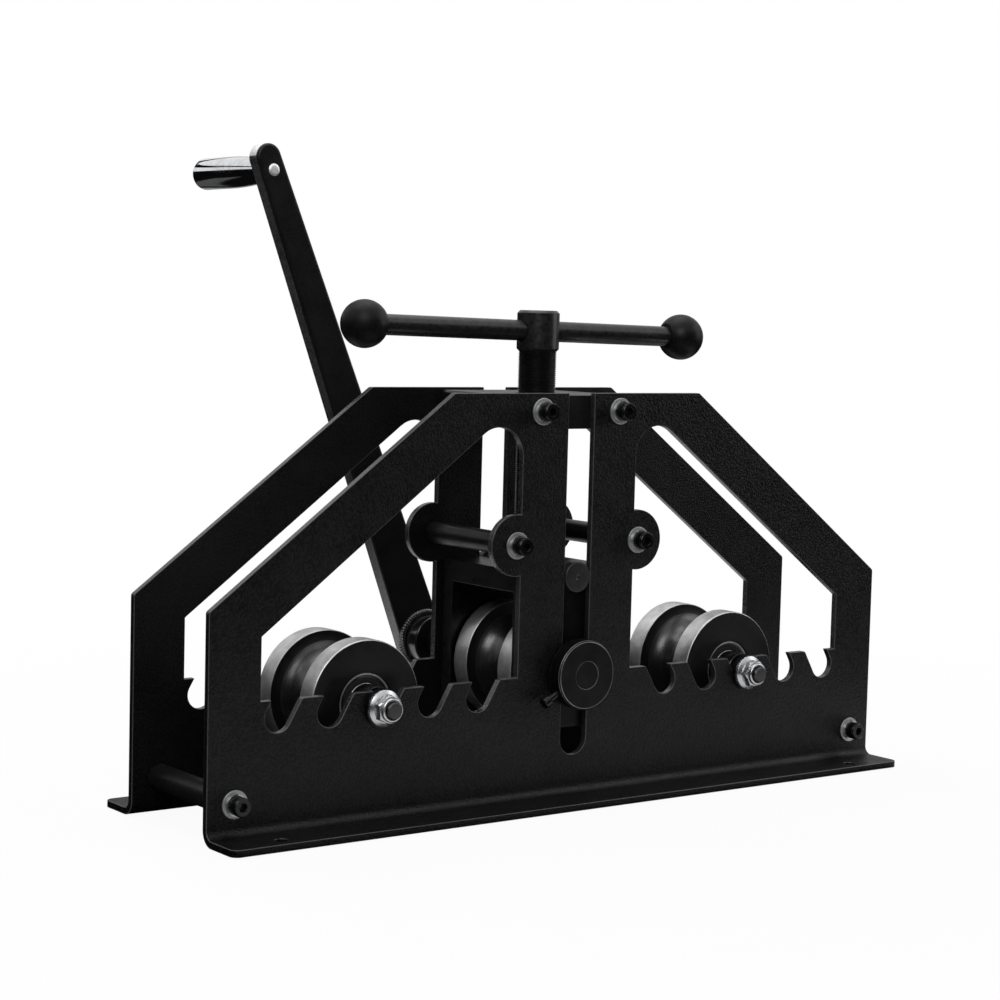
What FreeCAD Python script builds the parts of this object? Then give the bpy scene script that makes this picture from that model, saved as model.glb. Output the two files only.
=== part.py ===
"""Hand-cranked ring roller for the bench: two bent side plates, a drive die carried by a screw-fed
yoke, and two idler dies whose axles drop into racks of slanted notches.

Millimetres.  X runs along the side plates, Y across them (the near plate is at -Y), Z is up.
The origin is on the underside of the feet, midway between the plates and midway along them.
"""
import FreeCAD, Part
import Sketcher
import math
import os
from types import SimpleNamespace

# ---------------------------------------------------------------- driving dimensions

SIZES = {
    # side plates: bent steel sheet with a foot turned outwards
    "plate_length": 600.0,
    "plate_height": 293.0,
    "plate_thick": 5.0,
    "plate_gap": 98.0,
    "end_height": 152.7,
    "top_half": 111.0,
    "corner_round": 3.0,
    "foot_reach": 35.5,
    "bend_inside": 6.0,
    "foot_corner": 6.0,
    "foot_hole_bore": 8.5,
    "foot_hole_inset": 42.0,
    "foot_hole_out": 24.0,
    # windows, centre post and guide slot
    "stile_width": 39.3,
    "rail_width": 38.0,
    "post_half": 51.5,
    "window_round": 21.0,
    "rack_top": 92.0,
    "slot_width": 23.2,
    "slot_centre_low": 44.1,
    "ear_along": 55.0,
    "ear_up": 186.0,
    "ear_radius": 22.0,
    # slanted notches that hold the idler axles
    "notch_width": 20.4,
    "notch_lean_degrees": 30.0,
    "notch_first": 85.5,
    "notch_pitch": 40.5,
    "notch_count": 5.0,
    "notch_used": 2.0,
    "seat_up": 80.4,
    "notch_round": 3.0,
    # spacers and the screws that hold the plates to them
    "ear_spacer_bore": 16.0,
    "base_spacer_bore": 18.0,
    "base_spacer_inset": 20.5,
    "base_spacer_up": 26.0,
    "spacer_chamfer": 1.0,
    "tap_depth": 24.0,
    "top_screw_along": 35.0,
    "top_screw_drop": 13.0,
    "screw_bore": 8.0,
    "screw_clear_bore": 9.0,
    "tapped_play": 0.05,
    "screw_shank": 20.0,
    "screw_head_bore": 13.0,
    "screw_head_tall": 8.0,
    "screw_socket_across": 6.0,
    "screw_socket_deep": 4.0,
    "flat_washer_bore": 19.2,
    "flat_washer_thick": 1.6,
    "lock_washer_bore": 14.6,
    "lock_washer_thick": 2.1,
    "lock_washer_slit": 1.4,
    # nut block at the top
    "block_length": 100.0,
    "block_drop": 1.8,
    "block_tall": 24.0,
    "block_edge": 1.5,
    # lead screw, its head and the sliding tommy bar
    "lead_bore": 28.0,
    "lead_play": 0.05,
    "lead_showing": 29.8,
    "journal_bore": 20.0,
    "journal_play": 0.05,
    "journal_below": 7.0,
    "end_float": 0.1,
    "spigot_bore": 18.0,
    "spigot_tall": 6.0,
    "head_bore": 31.0,
    "head_tall": 30.0,
    "head_edge": 2.0,
    "bar_bore": 15.0,
    "bar_hole_play": 0.4,
    "bar_ball_half": 134.4,
    "bar_turn_degrees": -6.0,
    "bar_sag_degrees": 1.05,
    "bar_offset": -7.8,
    "ball_bore": 34.3,
    "ball_face": 14.0,
    # screw retainer under the yoke
    "retainer_washer_bore": 32.0,
    "retainer_washer_thick": 2.5,
    "clip_bore": 28.0,
    "clip_thick": 1.3,
    "clip_groove_deep": 1.0,
    # yoke
    "yoke_length": 90.0,
    "yoke_side_play": 0.5,
    "yoke_leg_thick": 11.0,
    "yoke_top": 166.5,
    "yoke_bar_tall": 16.0,
    "yoke_low": 51.5,
    "yoke_corner": 8.0,
    # guide pins
    "guide_bore": 22.3,
    "guide_up": 161.2,
    "guide_proud": 6.4,
    "guide_stem_bore": 8.0,
    "guide_stem_long": 16.0,
    "guide_edge": 1.2,
    # drive shaft, bushes, collars
    "drive_up": 92.0,
    "shaft_bore": 20.0,
    "shaft_play": 0.05,
    "shaft_far_end": 148.0,
    "bush_bore": 26.0,
    "bush_flange_bore": 34.0,
    "bush_flange_thick": 2.0,
    "collar_bore": 50.2,
    "collar_wide": 12.5,
    "collar_gap": 2.0,
    "collar_edge": 1.2,
    "collar_screw_bore": 5.0,
    "collar_screw_head_bore": 8.5,
    "collar_screw_head_tall": 5.0,
    "collar_screw_socket_across": 4.0,
    "collar_screw_seat": 34.0,
    "collar_screw_turn_degrees": 209.0,
    "key_wide": 6.0,
    "key_long": 50.0,
    "key_in_shaft": 3.5,
    "key_top_play": 0.3,
    # dies
    "die_bore": 87.5,
    "die_wide": 70.0,
    "groove_round": 19.0,
    "die_edge": 1.0,
    "die_waist_bore": 36.0,
    # ball bearings of the idler dies
    "bearing_outside": 42.0,
    "bearing_wide": 12.0,
    "bearing_sunk": 1.0,
    "outer_ring_wall": 3.4,
    "inner_ring_wall": 3.7,
    "seal_thick": 1.2,
    "seal_sunk": 0.3,
    "seal_play": 0.05,
    # idler axles and what clamps them
    "axle_bore": 20.0,
    "axle_play": 0.02,
    "axle_short": 0.5,
    "axle_thread_bore": 12.0,
    "axle_end": 71.5,
    "axle_chamfer": 1.2,
    "sleeve_bore": 27.0,
    "axle_washer_bore": 27.0,
    "axle_washer_thick": 3.0,
    "flange_nut_bore": 25.4,
    "flange_nut_tall": 12.0,
    "flange_nut_lip": 2.0,
    "flange_nut_across": 18.0,
    "flange_nut_hex_top": 9.2,
    "flange_nut_collar_bore": 16.6,
    # crank
    "crank_reach": 385.0,
    "crank_lean_degrees": 21.9,
    "arm_face": 137.0,
    "arm_deep": 13.0,
    "arm_sheet": 3.0,
    "arm_low_round": 19.0,
    "arm_top_round": 10.3,
    "arm_past_pin": 9.8,
    "arm_edge": 2.5,
    "arm_flange_stop": 12.5,
    "arm_flange_round": 4.0,
    "hub_bore": 39.0,
    "hub_front": 17.0,
    "hub_rear_bore": 30.0,
    "hub_edge": 1.0,
    "hub_screw_bore": 8.0,
    "hub_screw_long": 8.5,
    "rivet_bore": 9.2,
    "rivet_proud": 0.6,
    "pin_shoulder_bore": 15.0,
    "pin_bore": 10.0,
    "pin_head_bore": 15.0,
    "pin_head_tall": 4.0,
    "grip_play": 0.08,
    "grip_near_bore": 17.6,
    "grip_bore": 24.0,
    "grip_long": 88.5,
    "grip_swell_long": 48.0,
    "grip_edge": 2.5,
    "grip_gap": 1.6,
    "grip_recess_bore": 16.4,
    "grip_recess_deep": 6.0,
}


class Size:
    """A number together with the spreadsheet expression that gives it."""

    def __init__(self, value, text):
        self.value = value
        self.text = text

    def __add__(self, other):
        other = as_size(other)
        return Size(self.value + other.value, f"({self.text} + {other.text})")

    def __radd__(self, other):
        return as_size(other) + self

    def __sub__(self, other):
        other = as_size(other)
        return Size(self.value - other.value, f"({self.text} - {other.text})")

    def __rsub__(self, other):
        return as_size(other) - self

    def __mul__(self, other):
        other = as_size(other)
        return Size(self.value * other.value, f"({self.text} * {other.text})")

    def __rmul__(self, other):
        return as_size(other) * self

    def __truediv__(self, other):
        other = as_size(other)
        return Size(self.value / other.value, f"({self.text} / {other.text})")

    def __neg__(self):
        return Size(-self.value, f"(-1 * {self.text})")


def as_size(number):
    return number if isinstance(number, Size) else Size(float(number), repr(float(number)))


def sine(angle):
    return Size(math.sin(math.radians(angle.value)), f"sin({angle.text})")


def cosine(angle):
    return Size(math.cos(math.radians(angle.value)), f"cos({angle.text})")


def root(size):
    return Size(math.sqrt(size.value), f"sqrt({size.text})")


ZERO = as_size(0)
doc = FreeCAD.newDocument("ring_roller")
sheet = doc.addObject("Spreadsheet::Sheet", "Sizes")
for row, (name, number) in enumerate(SIZES.items(), start=1):
    sheet.set(f"A{row}", name)
    sheet.set(f"B{row}", str(number))
    sheet.setAlias(f"B{row}", name)
doc.recompute()
S = SimpleNamespace(**{name: Size(number, f"Sizes.{name}") for name, number in SIZES.items()})

# ---------------------------------------------------------------- places worked out from the sizes

half_length = S.plate_length / 2
inner_face = S.plate_gap / 2
outer_face = inner_face + S.plate_thick
foot_edge = outer_face + S.foot_reach
cut_through = (foot_edge + S.plate_gap) * 2
slope_run = half_length - S.top_half
slope_rise = S.plate_height - S.end_height
slope = slope_rise / slope_run
slope_length = root(slope_run * slope_run + slope_rise * slope_rise)
rail_drop = S.rail_width * slope_length / slope_run
seat_along = S.notch_first + S.notch_used * S.notch_pitch
yoke_outer = inner_face - S.yoke_side_play
yoke_inner = yoke_outer - S.yoke_leg_thick
yoke_bar_low = S.yoke_top - S.yoke_bar_tall
die_half = S.die_wide / 2
base_spacer_along = half_length - S.base_spacer_inset
foot_hole_along = half_length - S.foot_hole_inset
top_screw_up = S.plate_height - S.top_screw_drop
block_top = S.plate_height - S.block_drop
block_low = block_top - S.block_tall
lead_top = block_top + S.lead_showing
bearing_face = die_half - S.bearing_sunk
bearing_back = bearing_face - S.bearing_wide
washer_stack = S.flat_washer_thick + S.lock_washer_thick
axle_body_end = outer_face - S.axle_short
nut_seat = outer_face + S.axle_washer_thick
collar_back = outer_face + S.collar_gap
collar_front = collar_back + S.collar_wide
bar_up = lead_top + S.head_tall / 2
arm_back = S.arm_face + S.arm_deep
grip_start = arm_back + S.grip_gap
grip_end = grip_start + S.grip_long

# ---------------------------------------------------------------- ways of building


def bind(thing, name, size):
    """Tie one property of an object to the sheet."""
    thing.setExpression(name, as_size(size).text)


def about(axis, degrees):
    """The rotation about an axis by an angle."""
    return FreeCAD.Rotation(FreeCAD.Vector(*axis), as_size(degrees).value)


def new_body(label, place=(0, 0, 0), turn=None):
    """An empty body whose place is tied to the sheet and which may be turned."""
    body = doc.addObject("PartDesign::Body", label)
    body.Label = label
    if turn:
        body.Placement.Rotation = turn
    for letter, size in zip("xyz", place):
        if isinstance(size, Size):
            bind(body, f"Placement.Base.{letter}", size)
    return body


def origin_part(body, role):
    return next(part for part in body.Origin.OriginFeatures if part.Role == role)


def new_sketch(body, plane, offset=None):
    """A sketch on one of the body's own planes, moved along the plane's normal by offset."""
    sketch = body.newObject("Sketcher::SketchObject", f"{body.Name}_sketch")
    sketch.AttachmentSupport = [(origin_part(body, plane), "")]
    sketch.MapMode = "FlatFace"
    if offset is not None:
        bind(sketch, "AttachmentOffset.Base.z", offset)
    return sketch


def pin_point(sketch, element, end, corner):
    """Hold one point of a sketch at a place measured from the sketch's origin."""
    for kind, size in zip(("DistanceX", "DistanceY"), corner):
        hold(sketch, kind, (-1, 1, element, end), size)


def hold(sketch, kind, places, size):
    size = as_size(size)
    index = sketch.addConstraint(Sketcher.Constraint(kind, *places, size.value))
    sketch.setExpression(f"Constraints[{index}]", size.text)


def outline(sketch, corners, arcs=None):
    """A closed outline.  arcs gives, for a corner's index, the centre of the arc that leaves that
    corner, and whether the arc runs counter-clockwise."""
    arcs = arcs or {}
    corners = [(as_size(x), as_size(y)) for x, y in corners]
    points = [FreeCAD.Vector(x.value, y.value, 0) for x, y in corners]
    ends = []
    for index, start in enumerate(points):
        finish = points[(index + 1) % len(points)]
        if index not in arcs:
            ends.append((sketch.addGeometry(Part.LineSegment(start, finish)), 1, 2))
            continue
        (centre_x, centre_y), forward = arcs[index]
        centre = FreeCAD.Vector(as_size(centre_x).value, as_size(centre_y).value, 0)
        first, last = (start, finish) if forward else (finish, start)
        circle = Part.Circle(centre, FreeCAD.Vector(0, 0, 1), (start - centre).Length)
        arc = Part.ArcOfCircle(circle, angle_of(first - centre), angle_of(last - centre))
        element = sketch.addGeometry(arc)
        chord = finish - start
        if abs(chord.x) > abs(chord.y):
            hold(sketch, "DistanceY", (-1, 1, element, 3), centre_y)
        else:
            hold(sketch, "DistanceX", (-1, 1, element, 3), centre_x)
        ends.append((element, 1, 2) if forward else (element, 2, 1))
    for index, (element, start, finish) in enumerate(ends):
        after = ends[(index + 1) % len(ends)]
        sketch.addConstraint(Sketcher.Constraint("Coincident", element, finish, after[0], after[1]))
        pin_point(sketch, element, start, corners[index])


def angle_of(vector):
    return math.atan2(vector.y, vector.x)


def circle(sketch, centre, bore):
    """A circle given by its centre and its diameter."""
    x, y = (as_size(value) for value in centre)
    middle = FreeCAD.Vector(x.value, y.value, 0)
    shape = Part.Circle(middle, FreeCAD.Vector(0, 0, 1), as_size(bore).value / 2)
    element = sketch.addGeometry(shape)
    pin_point(sketch, element, 3, (x, y))
    hold(sketch, "Diameter", (element,), bore)


def hexagon(sketch, across):
    """A regular hexagon round the sketch's origin, given across its flats."""
    flat = across / 2
    side = across / root(as_size(3))
    outline(sketch, [
        (side, ZERO), (side / 2, flat), (-side / 2, flat),
        (-side, ZERO), (-side / 2, -flat), (side / 2, -flat)])


def rectangle(sketch, low, high):
    outline(sketch, [low, (high[0], low[1]), high, (low[0], high[1])])


def pad(body, sketch, length, symmetric=False, reverse=False):
    feature = body.newObject("PartDesign::Pad", f"{body.Name}_pad")
    feature.Profile = sketch
    bind(feature, "Length", length)
    feature.SideType = "Symmetric" if symmetric else "One side"
    feature.Reversed = reverse
    return feature


def pocket(body, sketch, length, symmetric=True, reverse=False):
    feature = body.newObject("PartDesign::Pocket", f"{body.Name}_pocket")
    feature.Profile = sketch
    bind(feature, "Length", length)
    feature.SideType = "Symmetric" if symmetric else "One side"
    feature.Reversed = reverse
    return feature


def revolve(body, sketch, cut=False):
    kind = "Groove" if cut else "Revolution"
    feature = body.newObject(f"PartDesign::{kind}", f"{body.Name}_{kind.lower()}")
    feature.Profile = sketch
    feature.ReferenceAxis = (sketch, ["V_Axis"])
    feature.Angle = 360
    return feature


def turned(label, section, arcs=None, place=(0, 0, 0), turn=None):
    """A turned piece: section is half its outline as (radius, along) corners round the body's Z."""
    body = new_body(label, place, turn)
    sketch = new_sketch(body, "XZ_Plane")
    outline(sketch, section, arcs)
    revolve(body, sketch)
    return body


def tube(label, outside, inside, low, high, place=(0, 0, 0), turn=None, edge=0):
    """A plain turned tube or washer between two heights, with its outer edges broken by edge."""
    section = [(inside / 2, low), (outside / 2 - edge, low)]
    if edge:
        section += [(outside / 2, low + edge), (outside / 2, high - edge)]
    section += [(outside / 2 - edge, high), (inside / 2, high)]
    return turned(label, section, None, place, turn)


def edges_through(body, spots, along):
    """Names of the straight edges of a body that run along one axis through the given spots."""
    doc.recompute()
    shape = body.Tip.Shape
    found = []
    for number, edge in enumerate(shape.Edges, start=1):
        if len(edge.Vertexes) != 2 or not isinstance(edge.Curve, Part.Line):
            continue
        start, finish = (vertex.Point for vertex in edge.Vertexes)
        run = finish - start
        if abs(run[along]) < 0.999 * run.Length:
            continue
        sides = [axis for axis in range(3) if axis != along]
        spot = [start[axis] for axis in sides]
        for wanted in spots:
            if math.dist(spot, [as_size(size).value for size in wanted]) < 0.01:
                found.append(f"Edge{number}")
    return found


def round_edges(body, edges, radius):
    base = body.Tip
    feature = body.newObject("PartDesign::Fillet", f"{body.Name}_fillet")
    feature.Base = (base, edges)
    bind(feature, "Radius", radius)


def break_edges(body, edges, size):
    base = body.Tip
    feature = body.newObject("PartDesign::Chamfer", f"{body.Name}_chamfer")
    feature.Base = (base, edges)
    bind(feature, "Size", size)


def group(label, pieces):
    """Loose pieces in one node: a copy of a master body at each (master, placement)."""
    doc.recompute()
    copies = []
    for master, placement in pieces:
        copy = master.Shape.copy()
        copy.Placement = placement.multiply(copy.Placement)
        copies.append(copy)
    feature = doc.addObject("Part::Feature", label)
    feature.Label = label
    feature.Shape = Part.Compound(copies)
    return feature


near_way = about((1, 0, 0), 90)
far_way = about((1, 0, 0), -90)
nodes = []

# ---------------------------------------------------------------- side plates


def side_plate(label, half_turn):
    """Sheet wall with an outward foot, two windows, a guide slot and two racks of notches."""
    body = new_body(label, turn=half_turn)
    section = new_sketch(body, "YZ_Plane")
    outline(section, [
        (-inner_face, ZERO), (-inner_face, S.plate_height), (-outer_face, S.plate_height),
        (-outer_face, S.plate_thick), (-foot_edge, S.plate_thick), (-foot_edge, ZERO)])
    pad(body, section, S.plate_length, symmetric=True)
    bend_in = edges_through(body, [(-outer_face, S.plate_thick)], along=0)
    round_edges(body, bend_in, S.bend_inside)
    bend_out = edges_through(body, [(-inner_face, ZERO)], along=0)
    round_edges(body, bend_out, S.bend_inside + S.plate_thick)

    sloped_ends = new_sketch(body, "XZ_Plane")
    for side in (-1, 1):
        outline(sloped_ends, [
            (side * S.top_half, S.plate_height), (side * half_length, S.plate_height),
            (side * half_length, S.end_height)])
    pocket(body, sloped_ends, cut_through)
    cut_windows(body)
    cut_guide_slot(body)
    for side in (-1, 1):
        cut_notches(body, side)
    round_notch_mouths(body)
    drill_plate(body)

    shoulders = [(side * along, up) for side in (-1, 1)
                 for along, up in ((half_length, S.end_height), (S.top_half, S.plate_height))]
    round_edges(body, edges_through(body, shoulders, along=1), S.corner_round)
    foot_corners = [(side * half_length, -foot_edge) for side in (-1, 1)]
    round_edges(body, edges_through(body, foot_corners, along=2), S.foot_corner)
    return body


def cut_windows(body):
    """A tall window on each side of the centre post, with a round ear on the post for a spacer."""
    window_end = half_length - S.stile_width
    low_corner = S.end_height + slope * S.stile_width - rail_drop
    slope_sine = slope_rise / slope_length
    slope_cosine = slope_run / slope_length
    arc_along = S.post_half + S.window_round
    arc_up = (S.end_height + slope * (half_length - arc_along) - rail_drop
              - S.window_round / slope_cosine)
    touch_along = arc_along + S.window_round * slope_sine
    touch_up = arc_up + S.window_round * slope_cosine
    windows = new_sketch(body, "XZ_Plane")
    for side in (-1, 1):
        outline(windows, [
            (side * window_end, S.rack_top), (side * S.post_half, S.rack_top),
            (side * S.post_half, arc_up), (side * touch_along, touch_up),
            (side * window_end, low_corner)], {2: ((side * arc_along, arc_up), side < 0)})
    pocket(body, windows, cut_through)
    ears = new_sketch(body, "XZ_Plane", inner_face)
    for side in (-1, 1):
        circle(ears, (side * S.ear_along, S.ear_up), S.ear_radius * 2)
    pad(body, ears, S.plate_thick)


def cut_guide_slot(body):
    """The slot in the post, open at the top, that the yoke's guide pins slide in."""
    edge = S.slot_width / 2
    above = S.plate_height + edge
    slot = new_sketch(body, "XZ_Plane")
    outline(slot, [(-edge, above), (-edge, S.slot_centre_low), (edge, S.slot_centre_low), (edge, above)],
            {1: ((ZERO, S.slot_centre_low), True)})
    pocket(body, slot, cut_through)


def notch_walls(side):
    """Unit directions of a notch: up along its walls, and across towards the centre post."""
    up = (-side * sine(S.notch_lean_degrees), cosine(S.notch_lean_degrees))
    across = (-side * cosine(S.notch_lean_degrees), -sine(S.notch_lean_degrees))
    return up, across


def cut_notches(body, side):
    """One row of notches, leaning towards the post, each with a round seat for an axle."""
    up, across = notch_walls(side)
    radius = S.notch_width / 2
    reach = (S.rack_top - S.seat_up + radius) / cosine(S.notch_lean_degrees)
    seat = (side * S.notch_first, S.seat_up)
    inner_low = (seat[0] + across[0] * radius, seat[1] + across[1] * radius)
    outer_low = (seat[0] - across[0] * radius, seat[1] - across[1] * radius)
    inner_high = (inner_low[0] + up[0] * reach, inner_low[1] + up[1] * reach)
    outer_high = (outer_low[0] + up[0] * reach, outer_low[1] + up[1] * reach)
    notch = new_sketch(body, "XZ_Plane")
    outline(notch, [inner_high, outer_high, outer_low, inner_low], {2: (seat, side < 0)})
    cut = pocket(body, notch, cut_through)
    row = body.newObject("PartDesign::LinearPattern", f"{body.Name}_notches")
    row.Originals = [cut]
    row.Direction = (origin_part(body, "X_Axis"), [""])
    row.Reversed = side < 0
    bind(row, "Length", (S.notch_count - 1) * S.notch_pitch)
    bind(row, "Occurrences", S.notch_count)
    body.Tip = row


def round_notch_mouths(body):
    """The wall of each notch nearer the post runs out into a rounded mouth."""
    radius = S.notch_width / 2
    rise = (S.rack_top - S.seat_up + sine(S.notch_lean_degrees) * radius) / cosine(S.notch_lean_degrees)
    inset = cosine(S.notch_lean_degrees) * radius + sine(S.notch_lean_degrees) * rise
    mouths = []
    for side in (-1, 1):
        for place in range(round(S.notch_count.value)):
            along = S.notch_first + place * S.notch_pitch - inset
            mouths.append((side * along, S.rack_top))
    round_edges(body, edges_through(body, mouths, along=1), S.notch_round)


def drill_plate(body):
    screws = new_sketch(body, "XZ_Plane")
    for along, up in plate_screws():
        circle(screws, (along, up), S.screw_clear_bore)
    pocket(body, screws, cut_through)
    feet = new_sketch(body, "XY_Plane")
    for side in (-1, 1):
        circle(feet, (side * foot_hole_along, -(outer_face + S.foot_hole_out)), S.foot_hole_bore)
    pocket(body, feet, S.plate_thick * 4)


def plate_screws():
    """Where the screws pass through each plate, as (along, up)."""
    return [(side * along, up) for side in (-1, 1) for along, up in (
        (S.top_screw_along, top_screw_up),
        (S.ear_along, S.ear_up),
        (base_spacer_along, S.base_spacer_up))]


nodes.append(side_plate("near_side_plate", None))
nodes.append(side_plate("far_side_plate", about((0, 0, 1), 180)))

# ---------------------------------------------------------------- what joins the plates

tapped = S.screw_bore / 2 + S.tapped_play


def nut_block():
    """The block between the plates that carries the lead screw's thread."""
    body = new_body("nut_block", (0, 0, block_low))
    footprint = new_sketch(body, "XY_Plane")
    half = S.block_length / 2
    rectangle(footprint, (-half, -inner_face), (half, inner_face))
    pad(body, footprint, S.block_tall)
    ends = [(side * half, up) for side in (-1, 1) for up in (ZERO, S.block_tall)]
    break_edges(body, edges_through(body, ends, along=1), S.block_edge)
    thread = new_sketch(body, "XY_Plane")
    circle(thread, (ZERO, ZERO), S.lead_bore + S.lead_play * 2)
    pocket(body, thread, S.block_tall * 4)
    for offset, far in ((inner_face, False), (-inner_face, True)):
        holes = new_sketch(body, "XZ_Plane", offset)
        for side in (-1, 1):
            circle(holes, (side * S.top_screw_along, top_screw_up - block_low), tapped * 2)
        pocket(body, holes, S.tap_depth, symmetric=False, reverse=far)
    return body


def spacer(label, bore, along, up):
    """A round bar between the plates, tapped at both ends."""
    radius = bore / 2
    floor = inner_face - S.tap_depth
    edge = S.spacer_chamfer
    section = [
        (ZERO, -floor), (tapped, -floor), (tapped, -inner_face), (radius - edge, -inner_face),
        (radius, edge - inner_face), (radius, inner_face - edge), (radius - edge, inner_face),
        (tapped, inner_face), (tapped, floor), (ZERO, floor)]
    return turned(label, section, None, (along, 0, up), far_way)


nodes.append(nut_block())
for word, side in (("left", -1), ("right", 1)):
    nodes.append(spacer(f"{word}_ear_spacer", S.ear_spacer_bore, side * S.ear_along, S.ear_up))
    nodes.append(spacer(f"{word}_base_spacer", S.base_spacer_bore,
                        side * base_spacer_along, S.base_spacer_up))

# ---------------------------------------------------------------- screws and washers


def cap_screw(label, bore, long, head_bore, head_tall, across, deep):
    """Socket cap screw standing on the underside of its head."""
    edge = head_tall / 12
    section = [
        (ZERO, -long), (bore / 2 - edge, -long), (bore / 2, edge - long), (bore / 2, ZERO),
        (head_bore / 2, ZERO), (head_bore / 2, head_tall - edge),
        (head_bore / 2 - edge, head_tall), (ZERO, head_tall)]
    body = turned(label, section)
    socket = new_sketch(body, "XY_Plane", head_tall)
    hexagon(socket, across)
    pocket(body, socket, deep, symmetric=False)
    return body


def lock_washer():
    """Split spring washer."""
    body = tube("lock_washer_form", S.lock_washer_bore, S.screw_clear_bore,
                ZERO, S.lock_washer_thick)
    slit = new_sketch(body, "XY_Plane")
    half = S.lock_washer_slit / 2
    rectangle(slit, (-half, ZERO), (half, S.lock_washer_bore))
    pocket(body, slit, S.lock_washer_thick * 4)
    return body


def both_sides(out, spots):
    """Placements on both plates' outsides, with the piece's Z pointing away from the plates."""
    places = []
    for side, facing in ((-1, near_way), (1, far_way)):
        for along, up in spots:
            spot = FreeCAD.Vector(along.value, (side * out).value, up.value)
            places.append(FreeCAD.Placement(spot, facing))
    return places


screw_form = cap_screw("cap_screw_form", S.screw_bore, S.screw_shank, S.screw_head_bore,
                       S.screw_head_tall, S.screw_socket_across, S.screw_socket_deep)
flat_washer_form = tube("flat_washer_form", S.flat_washer_bore, S.screw_clear_bore,
                        ZERO, S.flat_washer_thick)
lock_washer_form = lock_washer()
for label, form, out in (
        ("flat_washers", flat_washer_form, outer_face),
        ("lock_washers", lock_washer_form, outer_face + S.flat_washer_thick),
        ("cap_screws", screw_form, outer_face + washer_stack)):
    nodes.append(group(label, [(form, place) for place in both_sides(out, plate_screws())]))

# ---------------------------------------------------------------- idler axles and dies

axle_spots = [(side * seat_along, S.seat_up) for side in (-1, 1)]
axle_hole = S.axle_bore / 2 + S.axle_play


def idler_axle(label, spot):
    """Plain bar that seats in a pair of notches, with a threaded stud at each end."""
    radius = S.axle_bore / 2
    stud = S.axle_thread_bore / 2
    edge = S.axle_chamfer
    half = [(stud - edge, S.axle_end), (stud, S.axle_end - edge), (stud, axle_body_end),
            (radius, axle_body_end)]
    section = ([(ZERO, -S.axle_end)] + [(out, -along) for out, along in half]
               + half[::-1] + [(ZERO, S.axle_end)])
    return turned(label, section, None, (spot[0], 0, spot[1]), far_way)


def flange_nut():
    """Locking nut: a hexagon on a round flange, with a round collar on top."""
    lip = S.flange_nut_lip
    cone_top = lip * 2
    bore = S.axle_thread_bore / 2 + S.tapped_play
    collar = S.flange_nut_collar_bore / 2
    edge = lip / 2
    section = [
        (bore, ZERO), (S.flange_nut_bore / 2, ZERO), (S.flange_nut_bore / 2, lip),
        (collar, cone_top), (collar, S.flange_nut_tall - edge),
        (collar - edge, S.flange_nut_tall), (bore, S.flange_nut_tall)]
    body = turned("flange_nut_form", section)
    faces = new_sketch(body, "XY_Plane", lip + edge)
    hexagon(faces, S.flange_nut_across)
    circle(faces, (ZERO, ZERO), bore * 2)
    pad(body, faces, S.flange_nut_hex_top - lip - edge)
    return body


def pair_at(spot, forms):
    """Each form twice on one axle: turned to the near side and to the far side."""
    return [(form, place) for form in forms for place in both_sides(ZERO, [spot])]


sleeve_form = tube("sleeve_form", S.sleeve_bore, axle_hole * 2, bearing_face, inner_face, edge=0.5)
middle_form = tube("middle_form", S.sleeve_bore, axle_hole * 2, -bearing_back, bearing_back)
seal_top = bearing_face - S.seal_sunk
seal_low = bearing_back + S.seal_sunk
inner_ring_bore = S.axle_bore + S.inner_ring_wall * 2
outer_ring_bore = S.bearing_outside - S.outer_ring_wall * 2
inner_ring_form = tube("inner_ring_form", inner_ring_bore, axle_hole * 2,
                       bearing_back, bearing_face)
outer_ring_form = tube("outer_ring_form", S.bearing_outside, outer_ring_bore,
                       bearing_back, bearing_face)
seal_forms = [
    tube(f"seal_form_{word}", outer_ring_bore, inner_ring_bore + S.seal_play * 2, low, low + S.seal_thick)
    for word, low in (("outer", seal_top - S.seal_thick), ("inner", seal_low))]


def idler_die(label, spot):
    """Grooved roll with a bearing seat in each face."""
    radius = S.die_bore / 2
    seat = S.bearing_outside / 2
    waist = S.die_waist_bore / 2
    edge = S.die_edge
    section = [
        (waist, -bearing_back), (seat, -bearing_back), (seat, -die_half), (radius - edge, -die_half),
        (radius, edge - die_half), (radius, die_half - edge), (radius - edge, die_half),
        (seat, die_half), (seat, bearing_back), (waist, bearing_back)]
    body = turned(label, section, None, (spot[0], 0, spot[1]), far_way)
    cut_die_groove(body)
    return body


def cut_die_groove(body):
    """The half-round groove that the pipe lies in."""
    ring = new_sketch(body, "XZ_Plane")
    circle(ring, (S.die_bore / 2, ZERO), S.groove_round * 2)
    revolve(body, ring, cut=True)


nut_form = flange_nut()
axle_washer_form = tube("axle_washer_form", S.axle_washer_bore,
                        S.axle_thread_bore + S.tapped_play * 2, ZERO, S.axle_washer_thick)
for word, spot in zip(("left", "right"), axle_spots):
    nodes.append(idler_axle(f"{word}_idler_axle", spot))
    middle = (middle_form, both_sides(ZERO, [spot])[1])
    nodes.append(group(f"{word}_idler_sleeves", pair_at(spot, [sleeve_form]) + [middle]))
    nodes.append(group(f"{word}_bearing_inner_rings", pair_at(spot, [inner_ring_form])))
    nodes.append(group(f"{word}_bearing_outer_rings", pair_at(spot, [outer_ring_form])))
    nodes.append(group(f"{word}_bearing_seals", pair_at(spot, seal_forms)))
    nodes.append(idler_die(f"{word}_idler_die", spot))
nodes.append(group("axle_washers", [
    (axle_washer_form, place) for place in both_sides(outer_face, axle_spots)]))
nodes.append(group("axle_flange_nuts", [
    (nut_form, place) for place in both_sides(nut_seat, axle_spots)]))

# ---------------------------------------------------------------- yoke and its guides


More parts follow.
